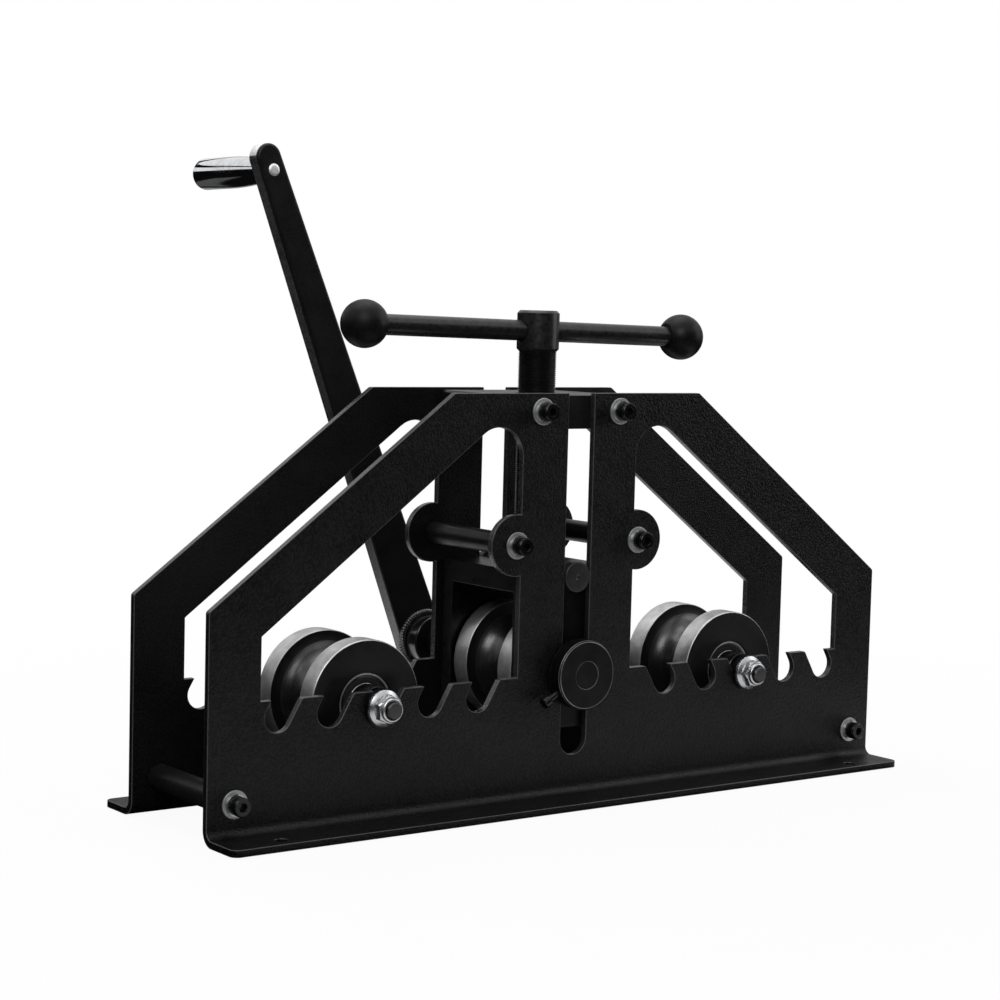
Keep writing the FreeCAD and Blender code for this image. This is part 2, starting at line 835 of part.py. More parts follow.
def yoke():
    """Upside-down U that slides between the plates and carries the drive shaft."""
    body = new_body("yoke")
    section = new_sketch(body, "YZ_Plane")
    outline(section, [
        (-yoke_outer, S.yoke_low), (-yoke_inner, S.yoke_low), (-yoke_inner, yoke_bar_low),
        (yoke_inner, yoke_bar_low), (yoke_inner, S.yoke_low), (yoke_outer, S.yoke_low),
        (yoke_outer, S.yoke_top), (-yoke_outer, S.yoke_top)])
    pad(body, section, S.yoke_length, symmetric=True)
    leg_corners = [(side * S.yoke_length / 2, S.yoke_low) for side in (-1, 1)]
    round_edges(body, edges_through(body, leg_corners, along=1), S.yoke_corner)
    bush_holes = new_sketch(body, "XZ_Plane")
    circle(bush_holes, (ZERO, S.drive_up), S.bush_bore)
    pocket(body, bush_holes, cut_through)
    journal = new_sketch(body, "XY_Plane", S.yoke_top)
    circle(journal, (ZERO, ZERO), S.journal_bore + S.journal_play * 2)
    pocket(body, journal, S.yoke_bar_tall * 2)
    for offset, far in ((yoke_outer, False), (-yoke_outer, True)):
        stem_hole = new_sketch(body, "XZ_Plane", offset)
        circle(stem_hole, (ZERO, S.guide_up), S.guide_stem_bore + S.tapped_play * 2)
        pocket(body, stem_hole, S.guide_stem_long, symmetric=False, reverse=far)
    return body


def guide_pin(label, facing):
    """Round block on a threaded stem that runs in the slot of one plate."""
    radius = S.guide_bore / 2
    front = outer_face + S.guide_proud
    edge = S.guide_edge
    dimple = S.guide_stem_bore / 4
    stem_end = yoke_outer - S.guide_stem_long + edge
    section = [
        (ZERO, stem_end), (S.guide_stem_bore / 2, stem_end), (S.guide_stem_bore / 2, yoke_outer),
        (radius, yoke_outer), (radius, front - edge), (radius - edge, front), (dimple, front),
        (ZERO, front - dimple)]
    return turned(label, section, None, (0, 0, S.guide_up), facing)


def shaft_bush(label, facing):
    """Flanged bronze bush in one leg of the yoke; the flange faces the die."""
    bore = S.shaft_bore / 2 + S.shaft_play
    start = yoke_inner - S.bush_flange_thick
    section = [
        (bore, start), (S.bush_flange_bore / 2, start), (S.bush_flange_bore / 2, yoke_inner),
        (S.bush_bore / 2, yoke_inner), (S.bush_bore / 2, yoke_outer), (bore, yoke_outer)]
    return turned(label, section, None, (0, 0, S.drive_up), facing)


nodes.append(yoke())
for word, facing in (("near", near_way), ("far", far_way)):
    nodes.append(guide_pin(f"{word}_guide_pin", facing))
    nodes.append(shaft_bush(f"{word}_shaft_bush", facing))

# ---------------------------------------------------------------- lead screw

washer_top = yoke_bar_low - S.end_float
clip_top = washer_top - S.retainer_washer_thick
clip_low = clip_top - S.clip_thick


def lead_screw():
    """Feed screw: journal in the yoke below, thread through the nut block, spigot for the head."""
    journal = S.journal_bore / 2
    thread = S.lead_bore / 2
    groove = journal - S.clip_groove_deep
    spigot = S.spigot_bore / 2
    end = yoke_bar_low - S.journal_below
    shoulder = S.yoke_top + S.end_float
    edge = S.clip_groove_deep
    section = [
        (ZERO, end), (journal - edge, end), (journal, end + edge), (journal, clip_low),
        (groove, clip_low), (groove, clip_top), (journal, clip_top), (journal, shoulder),
        (thread - edge, shoulder), (thread, shoulder + edge), (thread, lead_top),
        (spigot, lead_top), (spigot, lead_top + S.spigot_tall),
        (ZERO, lead_top + S.spigot_tall)]
    return turned("lead_screw", section)


def screw_head():
    """Round head with the cross hole that the tommy bar slides in."""
    radius = S.head_bore / 2
    spigot = S.spigot_bore / 2
    top = lead_top + S.head_tall
    seat = lead_top + S.spigot_tall
    edge = S.head_edge
    section = [
        (spigot, lead_top), (radius - edge, lead_top), (radius, lead_top + edge),
        (radius, top - edge), (radius - edge, top), (ZERO, top), (ZERO, seat), (spigot, seat)]
    body = turned("screw_head", section, turn=about((0, 0, 1), S.bar_turn_degrees))
    cross_hole = new_sketch(body, "YZ_Plane")
    circle(cross_hole, (ZERO, bar_up), S.bar_bore + S.bar_hole_play * 2)
    pocket(body, cross_hole, S.head_bore * 2)
    return body


def retaining_clip():
    """Open spring ring in the journal's groove."""
    body = tube("retaining_clip", S.clip_bore, S.journal_bore - S.clip_groove_deep * 2,
                clip_low, clip_top)
    gap = new_sketch(body, "XY_Plane", clip_low)
    rectangle(gap, (-S.journal_bore / 4, ZERO), (S.journal_bore / 4, S.clip_bore))
    pocket(body, gap, S.clip_thick * 4)
    return body


nodes.append(lead_screw())
nodes.append(screw_head())
nodes.append(tube("retaining_washer", S.retainer_washer_bore, S.journal_bore + S.journal_play * 2,
                  clip_top, washer_top))
nodes.append(retaining_clip())

# ---------------------------------------------------------------- tommy bar

sag_run = cosine(S.bar_sag_degrees)
bar_way = (sag_run * cosine(S.bar_turn_degrees), sag_run * sine(S.bar_turn_degrees),
           -sine(S.bar_sag_degrees))
bar_lie = about((0, 0, 1), S.bar_turn_degrees) * about((0, 1, 0), S.bar_sag_degrees) * about((0, 1, 0), 90)


def on_bar(distance):
    """A point on the bar's axis, measured from the middle of the bar."""
    reach = S.bar_offset + distance
    return (bar_way[0] * reach, bar_way[1] * reach, bar_up + bar_way[2] * reach)


def bar_ball(label, side):
    """Ball knob bored for the bar, with a flat face round the bore."""
    radius = S.ball_bore / 2
    bore = S.bar_bore / 2
    flat = root(radius * radius - S.ball_face * S.ball_face)
    section = [(ZERO, ZERO), (bore, ZERO), (bore, -S.ball_face), (flat, -S.ball_face), (ZERO, radius)]
    facing = bar_lie if side > 0 else bar_lie * about((1, 0, 0), 180)
    return turned(label, section, {3: ((ZERO, ZERO), True)}, on_bar(side * S.bar_ball_half), facing)


half_bar = S.bar_ball_half
nodes.append(turned("tommy_bar", [
    (ZERO, -half_bar), (S.bar_bore / 2, -half_bar), (S.bar_bore / 2, half_bar), (ZERO, half_bar)],
    None, on_bar(ZERO), bar_lie))
nodes.append(bar_ball("left_bar_knob", -1))
nodes.append(bar_ball("right_bar_knob", 1))

# ---------------------------------------------------------------- drive shaft and die

shaft_radius = S.shaft_bore / 2
shaft_hole = shaft_radius + S.axle_play


def drive_shaft():
    """Plain shaft with a keyway under the die."""
    edge = S.collar_edge / 2
    section = [
        (ZERO, -collar_front), (shaft_radius - edge, -collar_front),
        (shaft_radius, edge - collar_front), (shaft_radius, S.shaft_far_end - edge),
        (shaft_radius - edge, S.shaft_far_end), (ZERO, S.shaft_far_end)]
    body = turned("drive_shaft", section, None, (0, 0, S.drive_up), far_way)
    keyway = new_sketch(body, "XZ_Plane", shaft_radius)
    rectangle(keyway, (-S.key_wide / 2, -S.key_long / 2), (S.key_wide / 2, S.key_long / 2))
    pocket(body, keyway, S.key_in_shaft, symmetric=False)
    return body


def drive_key():
    body = new_body("drive_key", (0, 0, S.drive_up), far_way)
    plan = new_sketch(body, "XZ_Plane", shaft_radius - S.key_in_shaft)
    rectangle(plan, (-S.key_wide / 2, -S.key_long / 2), (S.key_wide / 2, S.key_long / 2))
    pad(body, plan, S.key_wide)
    return body


def drive_die():
    """Grooved roll like the idlers, with a plain keyed bore."""
    radius = S.die_bore / 2
    edge = S.die_edge
    section = [
        (shaft_hole, -die_half), (radius - edge, -die_half), (radius, edge - die_half),
        (radius, die_half - edge), (radius - edge, die_half), (shaft_hole, die_half)]
    body = turned("drive_die", section, None, (0, 0, S.drive_up), far_way)
    cut_die_groove(body)
    keyway = new_sketch(body, "XY_Plane")
    key_top = shaft_radius - S.key_in_shaft + S.key_wide + S.key_top_play
    rectangle(keyway, (-S.key_wide / 2, -key_top), (S.key_wide / 2, ZERO))
    pocket(body, keyway, S.die_wide * 2)
    return body


collar_middle = collar_back + S.collar_wide / 2


def retaining_collar(label, facing):
    """Collar outside one plate, tapped for the radial screw that holds it to the shaft."""
    body = tube(label, S.collar_bore, shaft_hole * 2, collar_back, collar_front,
                (0, 0, S.drive_up), facing, S.collar_edge)
    rim = S.collar_bore / 2
    thread = new_sketch(body, "YZ_Plane", rim)
    circle(thread, (ZERO, collar_middle), S.collar_screw_bore + S.tapped_play * 2)
    pocket(body, thread, rim, symmetric=False)
    return body


def radial_screw_place(facing, along, out):
    """Where a radial screw sits: along the shaft, out from its axis, head outwards."""
    spot = facing.multVec(FreeCAD.Vector(out.value, 0, along.value))
    spot = spot + FreeCAD.Vector(0, 0, S.drive_up.value)
    return FreeCAD.Placement(spot, facing * about((0, 1, 0), 90))


near_collar_lie = near_way * about((0, 0, 1), S.collar_screw_turn_degrees)
far_collar_lie = about((0, 0, 1), 180) * near_collar_lie
collar_screw_form = cap_screw(
    "collar_screw_form", S.collar_screw_bore, S.collar_screw_seat - shaft_hole,
    S.collar_screw_head_bore, S.collar_screw_head_tall, S.collar_screw_socket_across,
    S.collar_screw_head_tall / 2)
nodes.append(drive_shaft())
nodes.append(drive_key())
nodes.append(drive_die())
nodes.append(retaining_collar("near_retaining_collar", near_collar_lie))
nodes.append(retaining_collar("far_retaining_collar", far_collar_lie))
nodes.append(group("collar_screws", [
    (collar_screw_form, radial_screw_place(lie, collar_middle, S.collar_screw_seat))
    for lie in (near_collar_lie, far_collar_lie)]))

# ---------------------------------------------------------------- crank

crank_tilt = about((0, 1, 0), -S.crank_lean_degrees)
pin_place = (-1 * S.crank_reach * sine(S.crank_lean_degrees), 0,
             S.drive_up + S.crank_reach * cosine(S.crank_lean_degrees))


def arm_outline(sketch, inset):
    """Two circles and the straight flanks that touch them, drawn inside the arm by inset."""
    low = S.arm_low_round - inset
    top = S.arm_top_round - inset
    reach = S.crank_reach + S.arm_past_pin
    lean = (S.arm_low_round - S.arm_top_round) / reach
    flat = root(1 - lean * lean)
    outline(sketch, [
        (-low * flat, low * lean), (low * flat, low * lean),
        (top * flat, reach + top * lean), (-top * flat, reach + top * lean)],
        {0: ((ZERO, ZERO), True), 2: ((ZERO, reach), True)})


def crank_arm():
    """Pressed channel: a tapered web with flanges turned away from the machine."""
    body = new_body("crank_arm", (0, 0, S.drive_up), crank_tilt)
    face = new_sketch(body, "XZ_Plane", -S.arm_face)
    arm_outline(face, ZERO)
    pad(body, face, S.arm_deep, reverse=True)
    doc.recompute()
    front = [f"Edge{number}" for number, edge in enumerate(body.Tip.Shape.Edges, start=1)
             if all(abs(vertex.Y - S.arm_face.value) < 0.01 for vertex in edge.Vertexes)]
    round_edges(body, front, S.arm_edge)
    web_back = S.arm_face + S.arm_sheet
    hollow = new_sketch(body, "XZ_Plane", -web_back)
    arm_outline(hollow, S.arm_sheet)
    pocket(body, hollow, S.arm_deep, symmetric=False)
    stop = S.crank_reach + S.arm_flange_stop
    bend = S.arm_flange_round
    beyond = stop + S.arm_top_round * 2
    flange_ends = new_sketch(body, "YZ_Plane")
    outline(flange_ends, [
        (web_back + bend, stop), (arm_back + bend, stop), (arm_back + bend, beyond),
        (web_back, beyond), (web_back, stop + bend)], {4: ((web_back + bend, stop + bend), True)})
    pocket(body, flange_ends, S.arm_low_round * 2)
    bores = new_sketch(body, "XZ_Plane", -S.arm_face)
    circle(bores, (ZERO, ZERO), S.hub_rear_bore)
    circle(bores, (ZERO, S.crank_reach), S.rivet_bore)
    pocket(body, bores, S.arm_deep * 2)
    return body


hub_start = S.arm_face - S.hub_front
hub_screw_along = hub_start + S.hub_front / 2
hub_lie = crank_tilt * far_way * about((0, 0, 1), 90)


def crank_hub():
    """Boss welded into the arm's web, bored for the shaft."""
    front = S.hub_bore / 2
    rear = S.hub_rear_bore / 2
    edge = S.hub_edge
    section = [
        (shaft_hole, hub_start), (front - edge, hub_start), (front, hub_start + edge),
        (front, S.arm_face), (rear, S.arm_face), (rear, arm_back), (shaft_hole, arm_back)]
    body = turned("crank_hub", section, None, (0, 0, S.drive_up), hub_lie)
    thread = new_sketch(body, "YZ_Plane", front)
    circle(thread, (ZERO, hub_screw_along), S.hub_screw_bore)
    pocket(body, thread, front, symmetric=False)
    return body


def hub_screw():
    """Headless screw that clamps the hub to the shaft."""
    form = tube("hub_screw_form", S.hub_screw_bore, ZERO, shaft_hole, shaft_hole + S.hub_screw_long)
    socket = new_sketch(form, "XY_Plane", shaft_hole + S.hub_screw_long)
    hexagon(socket, S.hub_screw_bore / 2)
    pocket(form, socket, S.hub_screw_long / 2, symmetric=False)
    return group("hub_screw", [(form, radial_screw_place(hub_lie, hub_screw_along, ZERO))])


def grip_pin():
    """Pin riveted through the web, with a shoulder in the channel and a head in the grip."""
    rivet = S.rivet_bore / 2
    shoulder = S.pin_shoulder_bore / 2
    pin = S.pin_bore / 2
    head = S.pin_head_bore / 2
    rivet_end = S.arm_face - S.rivet_proud
    web_back = S.arm_face + S.arm_sheet
    head_low = grip_end - S.grip_recess_deep + S.rivet_proud
    section = [
        (ZERO, rivet_end), (rivet, rivet_end), (rivet, web_back), (shoulder, web_back),
        (shoulder, arm_back), (pin, arm_back), (pin, head_low), (head, head_low),
        (head, head_low + S.pin_head_tall), (ZERO, head_low + S.pin_head_tall)]
    return turned("grip_pin", section, None, pin_place, far_way)


def crank_grip():
    """Sleeve that turns on the pin, swelling away from the arm to an even thickness."""
    bore = S.pin_bore / 2 + S.grip_play
    slim = S.grip_near_bore / 2
    full = S.grip_bore / 2
    swell = full - slim
    recess = S.grip_recess_bore / 2
    floor = grip_end - S.grip_recess_deep
    swell_end = grip_start + S.grip_swell_long
    radius = S.grip_swell_long * S.grip_swell_long / (swell * 2) + swell / 2
    rim = grip_end - S.grip_edge
    section = [
        (bore, grip_start), (slim, grip_start), (full, swell_end), (full, rim),
        (full - S.grip_edge, grip_end), (recess, grip_end), (recess, floor), (bore, floor)]
    arcs = {1: ((full - radius, swell_end), True), 3: ((full - S.grip_edge, rim), True)}
    return turned("crank_grip", section, arcs, pin_place, far_way)


nodes.append(crank_arm())
nodes.append(crank_hub())
nodes.append(hub_screw())
nodes.append(grip_pin())
nodes.append(crank_grip())

# ---------------------------------------------------------------- checks and files

doc.recompute()
for thing in doc.Objects:
    if "Invalid" in thing.State or "Error" in thing.State:
        raise RuntimeError(f"{thing.Label}: {thing.State}")
for node in nodes:
    if node.Shape.isNull() or not node.Shape.isValid() or not node.Shape.Solids:
        raise RuntimeError(f"{node.Label}: bad shape")

os.makedirs("parts", exist_ok=True)
for node in nodes:
    node.Shape.exportStep(f"parts/{node.Label}.step")
    box = node.Shape.BoundBox
    print(f"{node.Label:28s} solids {len(node.Shape.Solids):2d}  volume {node.Shape.Volume:10.0f}"
          f"  X {box.XMin:7.1f} {box.XMax:7.1f}  Y {box.YMin:7.1f} {box.YMax:7.1f}"
          f"  Z {box.ZMin:7.1f} {box.ZMax:7.1f}")
print(len(nodes), "nodes")
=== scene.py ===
"""Looks of the ring roller: finishes, threads, knurls, weld beads and softened edges, built round
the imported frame.  Metres; X along the side plates, Y towards the crank, Z up."""
import math

import bpy
from mathutils import Matrix, Vector


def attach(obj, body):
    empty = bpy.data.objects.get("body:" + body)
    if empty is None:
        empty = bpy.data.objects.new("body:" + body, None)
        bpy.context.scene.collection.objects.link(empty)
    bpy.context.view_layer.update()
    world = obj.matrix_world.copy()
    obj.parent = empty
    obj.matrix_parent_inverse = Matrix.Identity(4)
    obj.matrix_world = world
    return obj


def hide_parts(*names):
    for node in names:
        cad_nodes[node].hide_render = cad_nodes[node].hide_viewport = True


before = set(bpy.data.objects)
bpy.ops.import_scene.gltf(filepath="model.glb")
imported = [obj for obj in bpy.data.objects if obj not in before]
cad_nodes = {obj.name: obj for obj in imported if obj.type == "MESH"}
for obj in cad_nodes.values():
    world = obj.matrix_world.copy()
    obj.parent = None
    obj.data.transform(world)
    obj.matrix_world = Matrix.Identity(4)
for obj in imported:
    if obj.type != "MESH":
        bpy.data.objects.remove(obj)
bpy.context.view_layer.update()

# ------------------------------------------------------------------ the tool's own places, metres

OUTER_FACE = 0.054              # outer face of a side plate, from the middle plane
WASHER_STACK = 0.0037           # flat washer and split washer under a cap screw
NUT_SEAT = 0.057                # where an axle's flange nut sits, from the middle plane
SCREW_SPOTS = [(side * along, up) for side in (-1, 1)
               for along, up in ((0.035, 0.280), (0.055, 0.186), (0.2795, 0.026))]
AXLE_OUT, AXLE_UP = 0.1665, 0.0804
DRIVE_UP = 0.092
DIE_SPOTS = {"left": (-AXLE_OUT, 0, AXLE_UP), "drive": (0, 0, DRIVE_UP),
             "right": (AXLE_OUT, 0, AXLE_UP)}
GUIDE_PIN_UP = 0.1612
CRANK_LEAN, CRANK_REACH = math.radians(21.9), 0.385
BAR_UP, BAR_OFFSET, BAR_HALF = 0.336, -0.0078, 0.1344
BAR_TURN, BAR_SAG = -6.0, 1.05  # degrees
X_AXIS, Y_AXIS, Z_AXIS = (1, 0, 0), (0, 1, 0), (0, 0, 1)
ALONG_Y, ALONG_Z = 1, 2         # places of an axis in a vector
ORIGIN = (0, 0, 0)

# ------------------------------------------------------------------ finishes


class Finish:
    """A material under construction: its nodes, links and the shader that the rest feeds."""

    def __init__(self, name, colour, roughness, metallic=0.0, specular=0.5):
        self.material = bpy.data.materials.new(name)
        self.material.use_nodes = True
        self.tree = self.material.node_tree
        self.shader = self.tree.nodes["Principled BSDF"]
        self.colour = colour
        self.shader.inputs["Base Color"].default_value = (*colour, 1.0)
        self.shader.inputs["Roughness"].default_value = roughness
        self.shader.inputs["Metallic"].default_value = metallic
        self.shader.inputs["Specular IOR Level"].default_value = specular
        self.place = self.add("ShaderNodeTexCoord").outputs["Object"]

    def add(self, kind, **inputs):
        """A new node; inputs are numbers, vectors or other nodes' sockets."""
        node = self.tree.nodes.new(kind)
        for name, value in inputs.items():
            self.feed(node.inputs[name.replace("_", " ")], value)
        return node

    def feed(self, socket, value):
        """Link another node's socket to an input, or set a plain value there."""
        if isinstance(value, bpy.types.NodeSocket):
            self.tree.links.new(value, socket)
        else:
            socket.default_value = value

    def math(self, operation, first, second=0.0):
        """One step of arithmetic on numbers or sockets."""
        node = self.add("ShaderNodeMath")
        node.operation = operation
        for socket, value in zip(node.inputs, (first, second)):
            self.feed(socket, value)
        return node.outputs[0]

    def noise(self, size, detail, place=None):
        """Cloudy values around one half; size is the width of a cloud, in metres."""
        node = self.add("ShaderNodeTexNoise", Vector=place or self.place, Scale=1.0 / size,
                        Detail=detail, Roughness=0.55)
        return node.outputs["Fac"]

    def spread(self, value, low, high, start=0.3, end=0.7):
        """Stretch a value that runs from start to end so that it runs from low to high."""
        node = self.add("ShaderNodeMapRange", Value=value)
        for name, bound in (("From Min", start), ("From Max", end),
                            ("To Min", low), ("To Max", high)):
            node.inputs[name].default_value = bound
        return node.outputs["Result"]

    def shade(self, value, dark, light):
        """Vary the colour between a darker and a lighter share of itself."""
        mix = self.add("ShaderNodeMix")
        mix.data_type = "RGBA"
        self.feed(mix.inputs[0], value)
        mix.inputs[6].default_value = (*(part * dark for part in self.colour), 1.0)
        mix.inputs[7].default_value = (*(part * light for part in self.colour), 1.0)
        self.feed(self.shader.inputs["Base Color"], mix.outputs[2])

    def polish(self, value, smooth, rough):
        """Vary the roughness between two values."""
        self.feed(self.shader.inputs["Roughness"], self.spread(value, smooth, rough))

    def relief(self, value, depth, strength):
        """Raise and sink the surface by a pattern; depth is in metres."""
        bump = self.add("ShaderNodeBump", Height=value, Strength=strength, Distance=depth)
        if self.shader.inputs["Normal"].is_linked:
            self.feed(bump.inputs["Normal"], self.shader.inputs["Normal"].links[0].from_socket)
        self.feed(self.shader.inputs["Normal"], bump.outputs["Normal"])

    def centred(self, centre):
        """Object coordinates measured from a point."""
        node = self.add("ShaderNodeVectorMath", Vector=self.place)
        node.operation = "SUBTRACT"
        node.inputs[1].default_value = centre
        return node.outputs[0]


def powder_coat(name, colour, roughness, grain, depth, specular=0.2, speckle=0.25):
    """Sprayed and baked coat with a fine orange-peel grain and slow cloudiness."""
    finish = Finish(name, colour, roughness, specular=specular)
    clouds = finish.spread(finish.noise(0.05, 4.0), 0.0, 0.35)
    grains = finish.spread(finish.noise(grain, 0.0), 0.0, 0.65, 0.4, 0.6)
    finish.shade(finish.math("ADD", clouds, grains), 1.0 - speckle, 1.0 + speckle)
    finish.polish(finish.noise(0.02, 5.0), roughness - 0.06, roughness + 0.08)
    finish.relief(finish.noise(grain, 2.0), depth, 0.8)
    finish.relief(finish.noise(grain * 8, 3.0), depth * 2, 0.15)
    return finish.material


def turned_steel(name, colour, roughness, centre, axis, depth=0.00002):
    """Lathe-turned metal: fine rings round an axis and along it, with slight stains."""
    finish = Finish(name, colour, roughness, metallic=0.9)
    place = finish.centred(centre)
    parts = finish.add("ShaderNodeSeparateXYZ", Vector=place)
    across = [part for part in range(3) if part != axis]
    squares = [finish.math("MULTIPLY", parts.outputs[part], parts.outputs[part])
               for part in across]
    radius = finish.math("SQRT", finish.math("ADD", *squares))
    rings = finish.add("ShaderNodeCombineXYZ", X=radius, Y=parts.outputs[axis])
    marks = finish.noise(0.0004, 2.0, rings.outputs[0])
    finish.relief(marks, depth, 0.7)
    stains = finish.noise(0.012, 5.0)
    finish.shade(finish.spread(stains, 0.0, 1.0), 0.75, 1.3)
    finish.polish(marks, roughness - 0.08, roughness + 0.1)
    return finish.material


def plated(name, colour, roughness, metallic=1.0, grain=0.003, depth=0.00003):
    """Thin bright or black plating: slightly uneven shine and faint handling marks."""
    finish = Finish(name, colour, roughness, metallic)
    finish.shade(finish.spread(finish.noise(0.006, 4.0), 0.0, 1.0), 0.82, 1.1)
    finish.polish(finish.noise(grain, 4.0), max(0.03, roughness - 0.08), roughness + 0.1)
    finish.relief(finish.noise(grain, 3.0), depth, 0.3)
    return finish.material


def rubber(name, colour):
    """Dull moulded rubber."""
    finish = Finish(name, colour, 0.75, specular=0.3)
    finish.shade(finish.spread(finish.noise(0.004, 3.0), 0.0, 1.0), 0.8, 1.2)
    finish.relief(finish.noise(0.0005, 2.0), 0.00002, 0.5)
    return finish.material


# Coats: name, colour, roughness, grain's width and depth, specular level, speckle.
PLATE_COAT = powder_coat(
    "textured_powder_coat", (0.0036, 0.0036, 0.0037), 0.36, 0.0014, 0.0007, 0.2, 1.0)
BAR_COAT = powder_coat(
    "smooth_powder_coat", (0.006, 0.006, 0.0062), 0.36, 0.0012, 0.00008, 0.2, 0.5)
KNOB_COAT = powder_coat(
    "ball_knob_coat", (0.0045, 0.0045, 0.0047), 0.4, 0.0012, 0.00006, 0.14, 0.5)
GLOSS_COAT = powder_coat("gloss_enamel", (0.0025, 0.0025, 0.0026), 0.3, 0.006, 0.00002, 0.12)
# Edge enamel for rounded strips: lighter than the gloss enamel on the yoke and hub, a painted
# highlight along those edges.
GLOSS_EDGE = powder_coat("gloss_edge_enamel", (0.012, 0.012, 0.0122), 0.25, 0.006, 0.00002)
YOKE_SIDE_PAINTED_LIGHT = powder_coat("yoke_side_painted_light_enamel", (0.009, 0.009, 0.0092), 0.3, 0.006, 0.00002, 0.25)
HUB_COAT = powder_coat("hub_enamel", (0.006, 0.006, 0.0061), 0.16, 0.004, 0.00004, 0.8)
WELD_COAT = powder_coat("coated_weld", (0.02, 0.02, 0.0202), 0.16, 0.003, 0.0002, 1.0)
# Lighter coat for the plates' rounded edges: a painted highlight, thin light lines along them.
PLATE_EDGE_HIGHLIGHT = powder_coat("plate_edge_highlight_coat", (0.05, 0.05, 0.0505), 0.3, 0.0012, 0.00005, 0.5)
# Lighter coat for the crank arm's rounded edges: a painted highlight.
CUT_EDGE_HIGHLIGHT = powder_coat("cut_edge_highlight_coat", (0.03, 0.03, 0.0305), 0.35, 0.0012, 0.00004)
# Lighter coat for the plates' cut faces and the nut block's rounded edges: a painted highlight.
CUT_FACE_HIGHLIGHT = powder_coat("cut_face_highlight_coat", (0.016, 0.016, 0.0162), 0.28, 0.0013, 0.0003, 0.8, 0.9)
ARM_FLANK_PAINTED_LIGHT = powder_coat("arm_flank_painted_light_coat", (0.026, 0.026, 0.0262), 0.3, 0.0013, 0.0003, 0.8, 0.9)

# Plated and plain metals: name, colour, roughness, metallic share, marks' width and depth.
PIN_STEEL = plated("guide_pin_steel", (0.016, 0.016, 0.0165), 0.42, 0.3)
STUD_STEEL = plated("stud_steel", (0.05, 0.05, 0.052), 0.4, 0.5, 0.001, 0.0001)
# Bright steel for the retaining collars' rounded edges: a painted highlight.
STEEL_EDGE_HIGHLIGHT = plated("steel_edge_highlight", (0.2, 0.2, 0.2), 0.35, 0.8)
RIVET_STEEL = plated("peened_rivet", (0.92, 0.92, 0.91), 0.5, 1.0, 0.0012, 0.00006)
HEAD_WALL_HIGHLIGHT = plated("head_wall_highlight_coat", (0.85, 0.85, 0.84), 0.5, 0.8, 0.002, 0.0003)
BLACK_OXIDE = plated("black_oxide", (0.024, 0.024, 0.025), 0.24, 0.85)
HEAD_STEEL = plated("drawn_black_steel", (0.05, 0.05, 0.051), 0.32, 0.85)
ZINC = plated("bright_zinc", (0.5, 0.51, 0.52), 0.28, 0.95, 0.006, 0.00001)
WASHER_ZINC = plated("satin_zinc", (0.36, 0.365, 0.37), 0.42, 0.8, 0.01, 0.00001)
BRONZE = plated("sintered_bronze", (0.42, 0.27, 0.12), 0.45)
PLAIN_STEEL = plated("plain_steel", (0.55, 0.55, 0.55), 0.3)
CHROME = plated("polished_chrome", (0.66, 0.67, 0.68), 0.05, 1.0, 0.02, 0.00001)
DIE_FACE = plated("blackened_die_face", (0.006, 0.006, 0.0062), 0.45, 0.5, 0.004)
# Bright rims of the bearing rings: a painted highlight on their rounded edges.
RING_RIM_HIGHLIGHT = plated("ring_rim_highlight", (0.6, 0.6, 0.6), 0.4, 0.8, 0.01, 0.00001)
SEAL_RUBBER = rubber("seal_rubber", (0.006, 0.006, 0.006))

# Turned steels: name, colour, roughness, a point on the axis, its direction, rings' depth.
GROOVE_STEEL = {word: turned_steel(
    f"{word}_die_steel", (0.07, 0.07, 0.072), 0.3, spot, ALONG_Y, 0.000008)
    for word, spot in DIE_SPOTS.items()}
# Brighter steel for the dies' lands: partly worn steel, partly a painted highlight.
LAND_WEAR_AND_HIGHLIGHT = {word: turned_steel(
    f"{word}_land_wear_and_highlight", (0.5, 0.5, 0.5), 0.38, spot, ALONG_Y)
    for word, spot in DIE_SPOTS.items()}
# Dark steel for the bearing rings' faces: painted shade.
RING_SHADED_STEEL = {word: turned_steel(
    f"{word}_ring_shaded_steel", (0.07, 0.07, 0.07), 0.3, DIE_SPOTS[word], ALONG_Y, 0.00001)
    for word in ("left", "right")}
COLLAR_STEEL = turned_steel(
    "collar_black_steel", (0.014, 0.014, 0.0145), 0.42, DIE_SPOTS["drive"], ALONG_Y)
SCREW_STEEL = turned_steel("screw_black_steel", (0.03, 0.03, 0.03), 0.33, ORIGIN, ALONG_Z)

NODE_FINISHES = {
    "nut_block": BAR_COAT, "cap_screws": BLACK_OXIDE, "lock_washers": ZINC,
    "flat_washers": WASHER_ZINC, "axle_washers": BLACK_OXIDE, "axle_flange_nuts": ZINC,
    "yoke": GLOSS_COAT, "lead_screw": SCREW_STEEL, "screw_head": BAR_COAT,
    "retaining_washer": ZINC, "retaining_clip": BLACK_OXIDE, "tommy_bar": HEAD_STEEL,
    "drive_shaft": COLLAR_STEEL, "drive_key": PLAIN_STEEL, "drive_die": GROOVE_STEEL["drive"],
    "collar_screws": BLACK_OXIDE, "crank_arm": BAR_COAT, "crank_hub": HUB_COAT,
    "hub_screw": BLACK_OXIDE, "grip_pin": PLAIN_STEEL, "crank_grip": CHROME,
}
for word in ("left", "right"):
    NODE_FINISHES.update({
        f"{word}_ear_spacer": BAR_COAT, f"{word}_base_spacer": BAR_COAT,
        f"{word}_idler_axle": BLACK_OXIDE, f"{word}_idler_sleeves": BLACK_OXIDE,
        f"{word}_bearing_inner_rings": RING_SHADED_STEEL[word], f"{word}_bearing_seals": SEAL_RUBBER,
        f"{word}_bearing_outer_rings": RING_SHADED_STEEL[word], f"{word}_bar_knob": KNOB_COAT,
        f"{word}_idler_die": GROOVE_STEEL[word]})
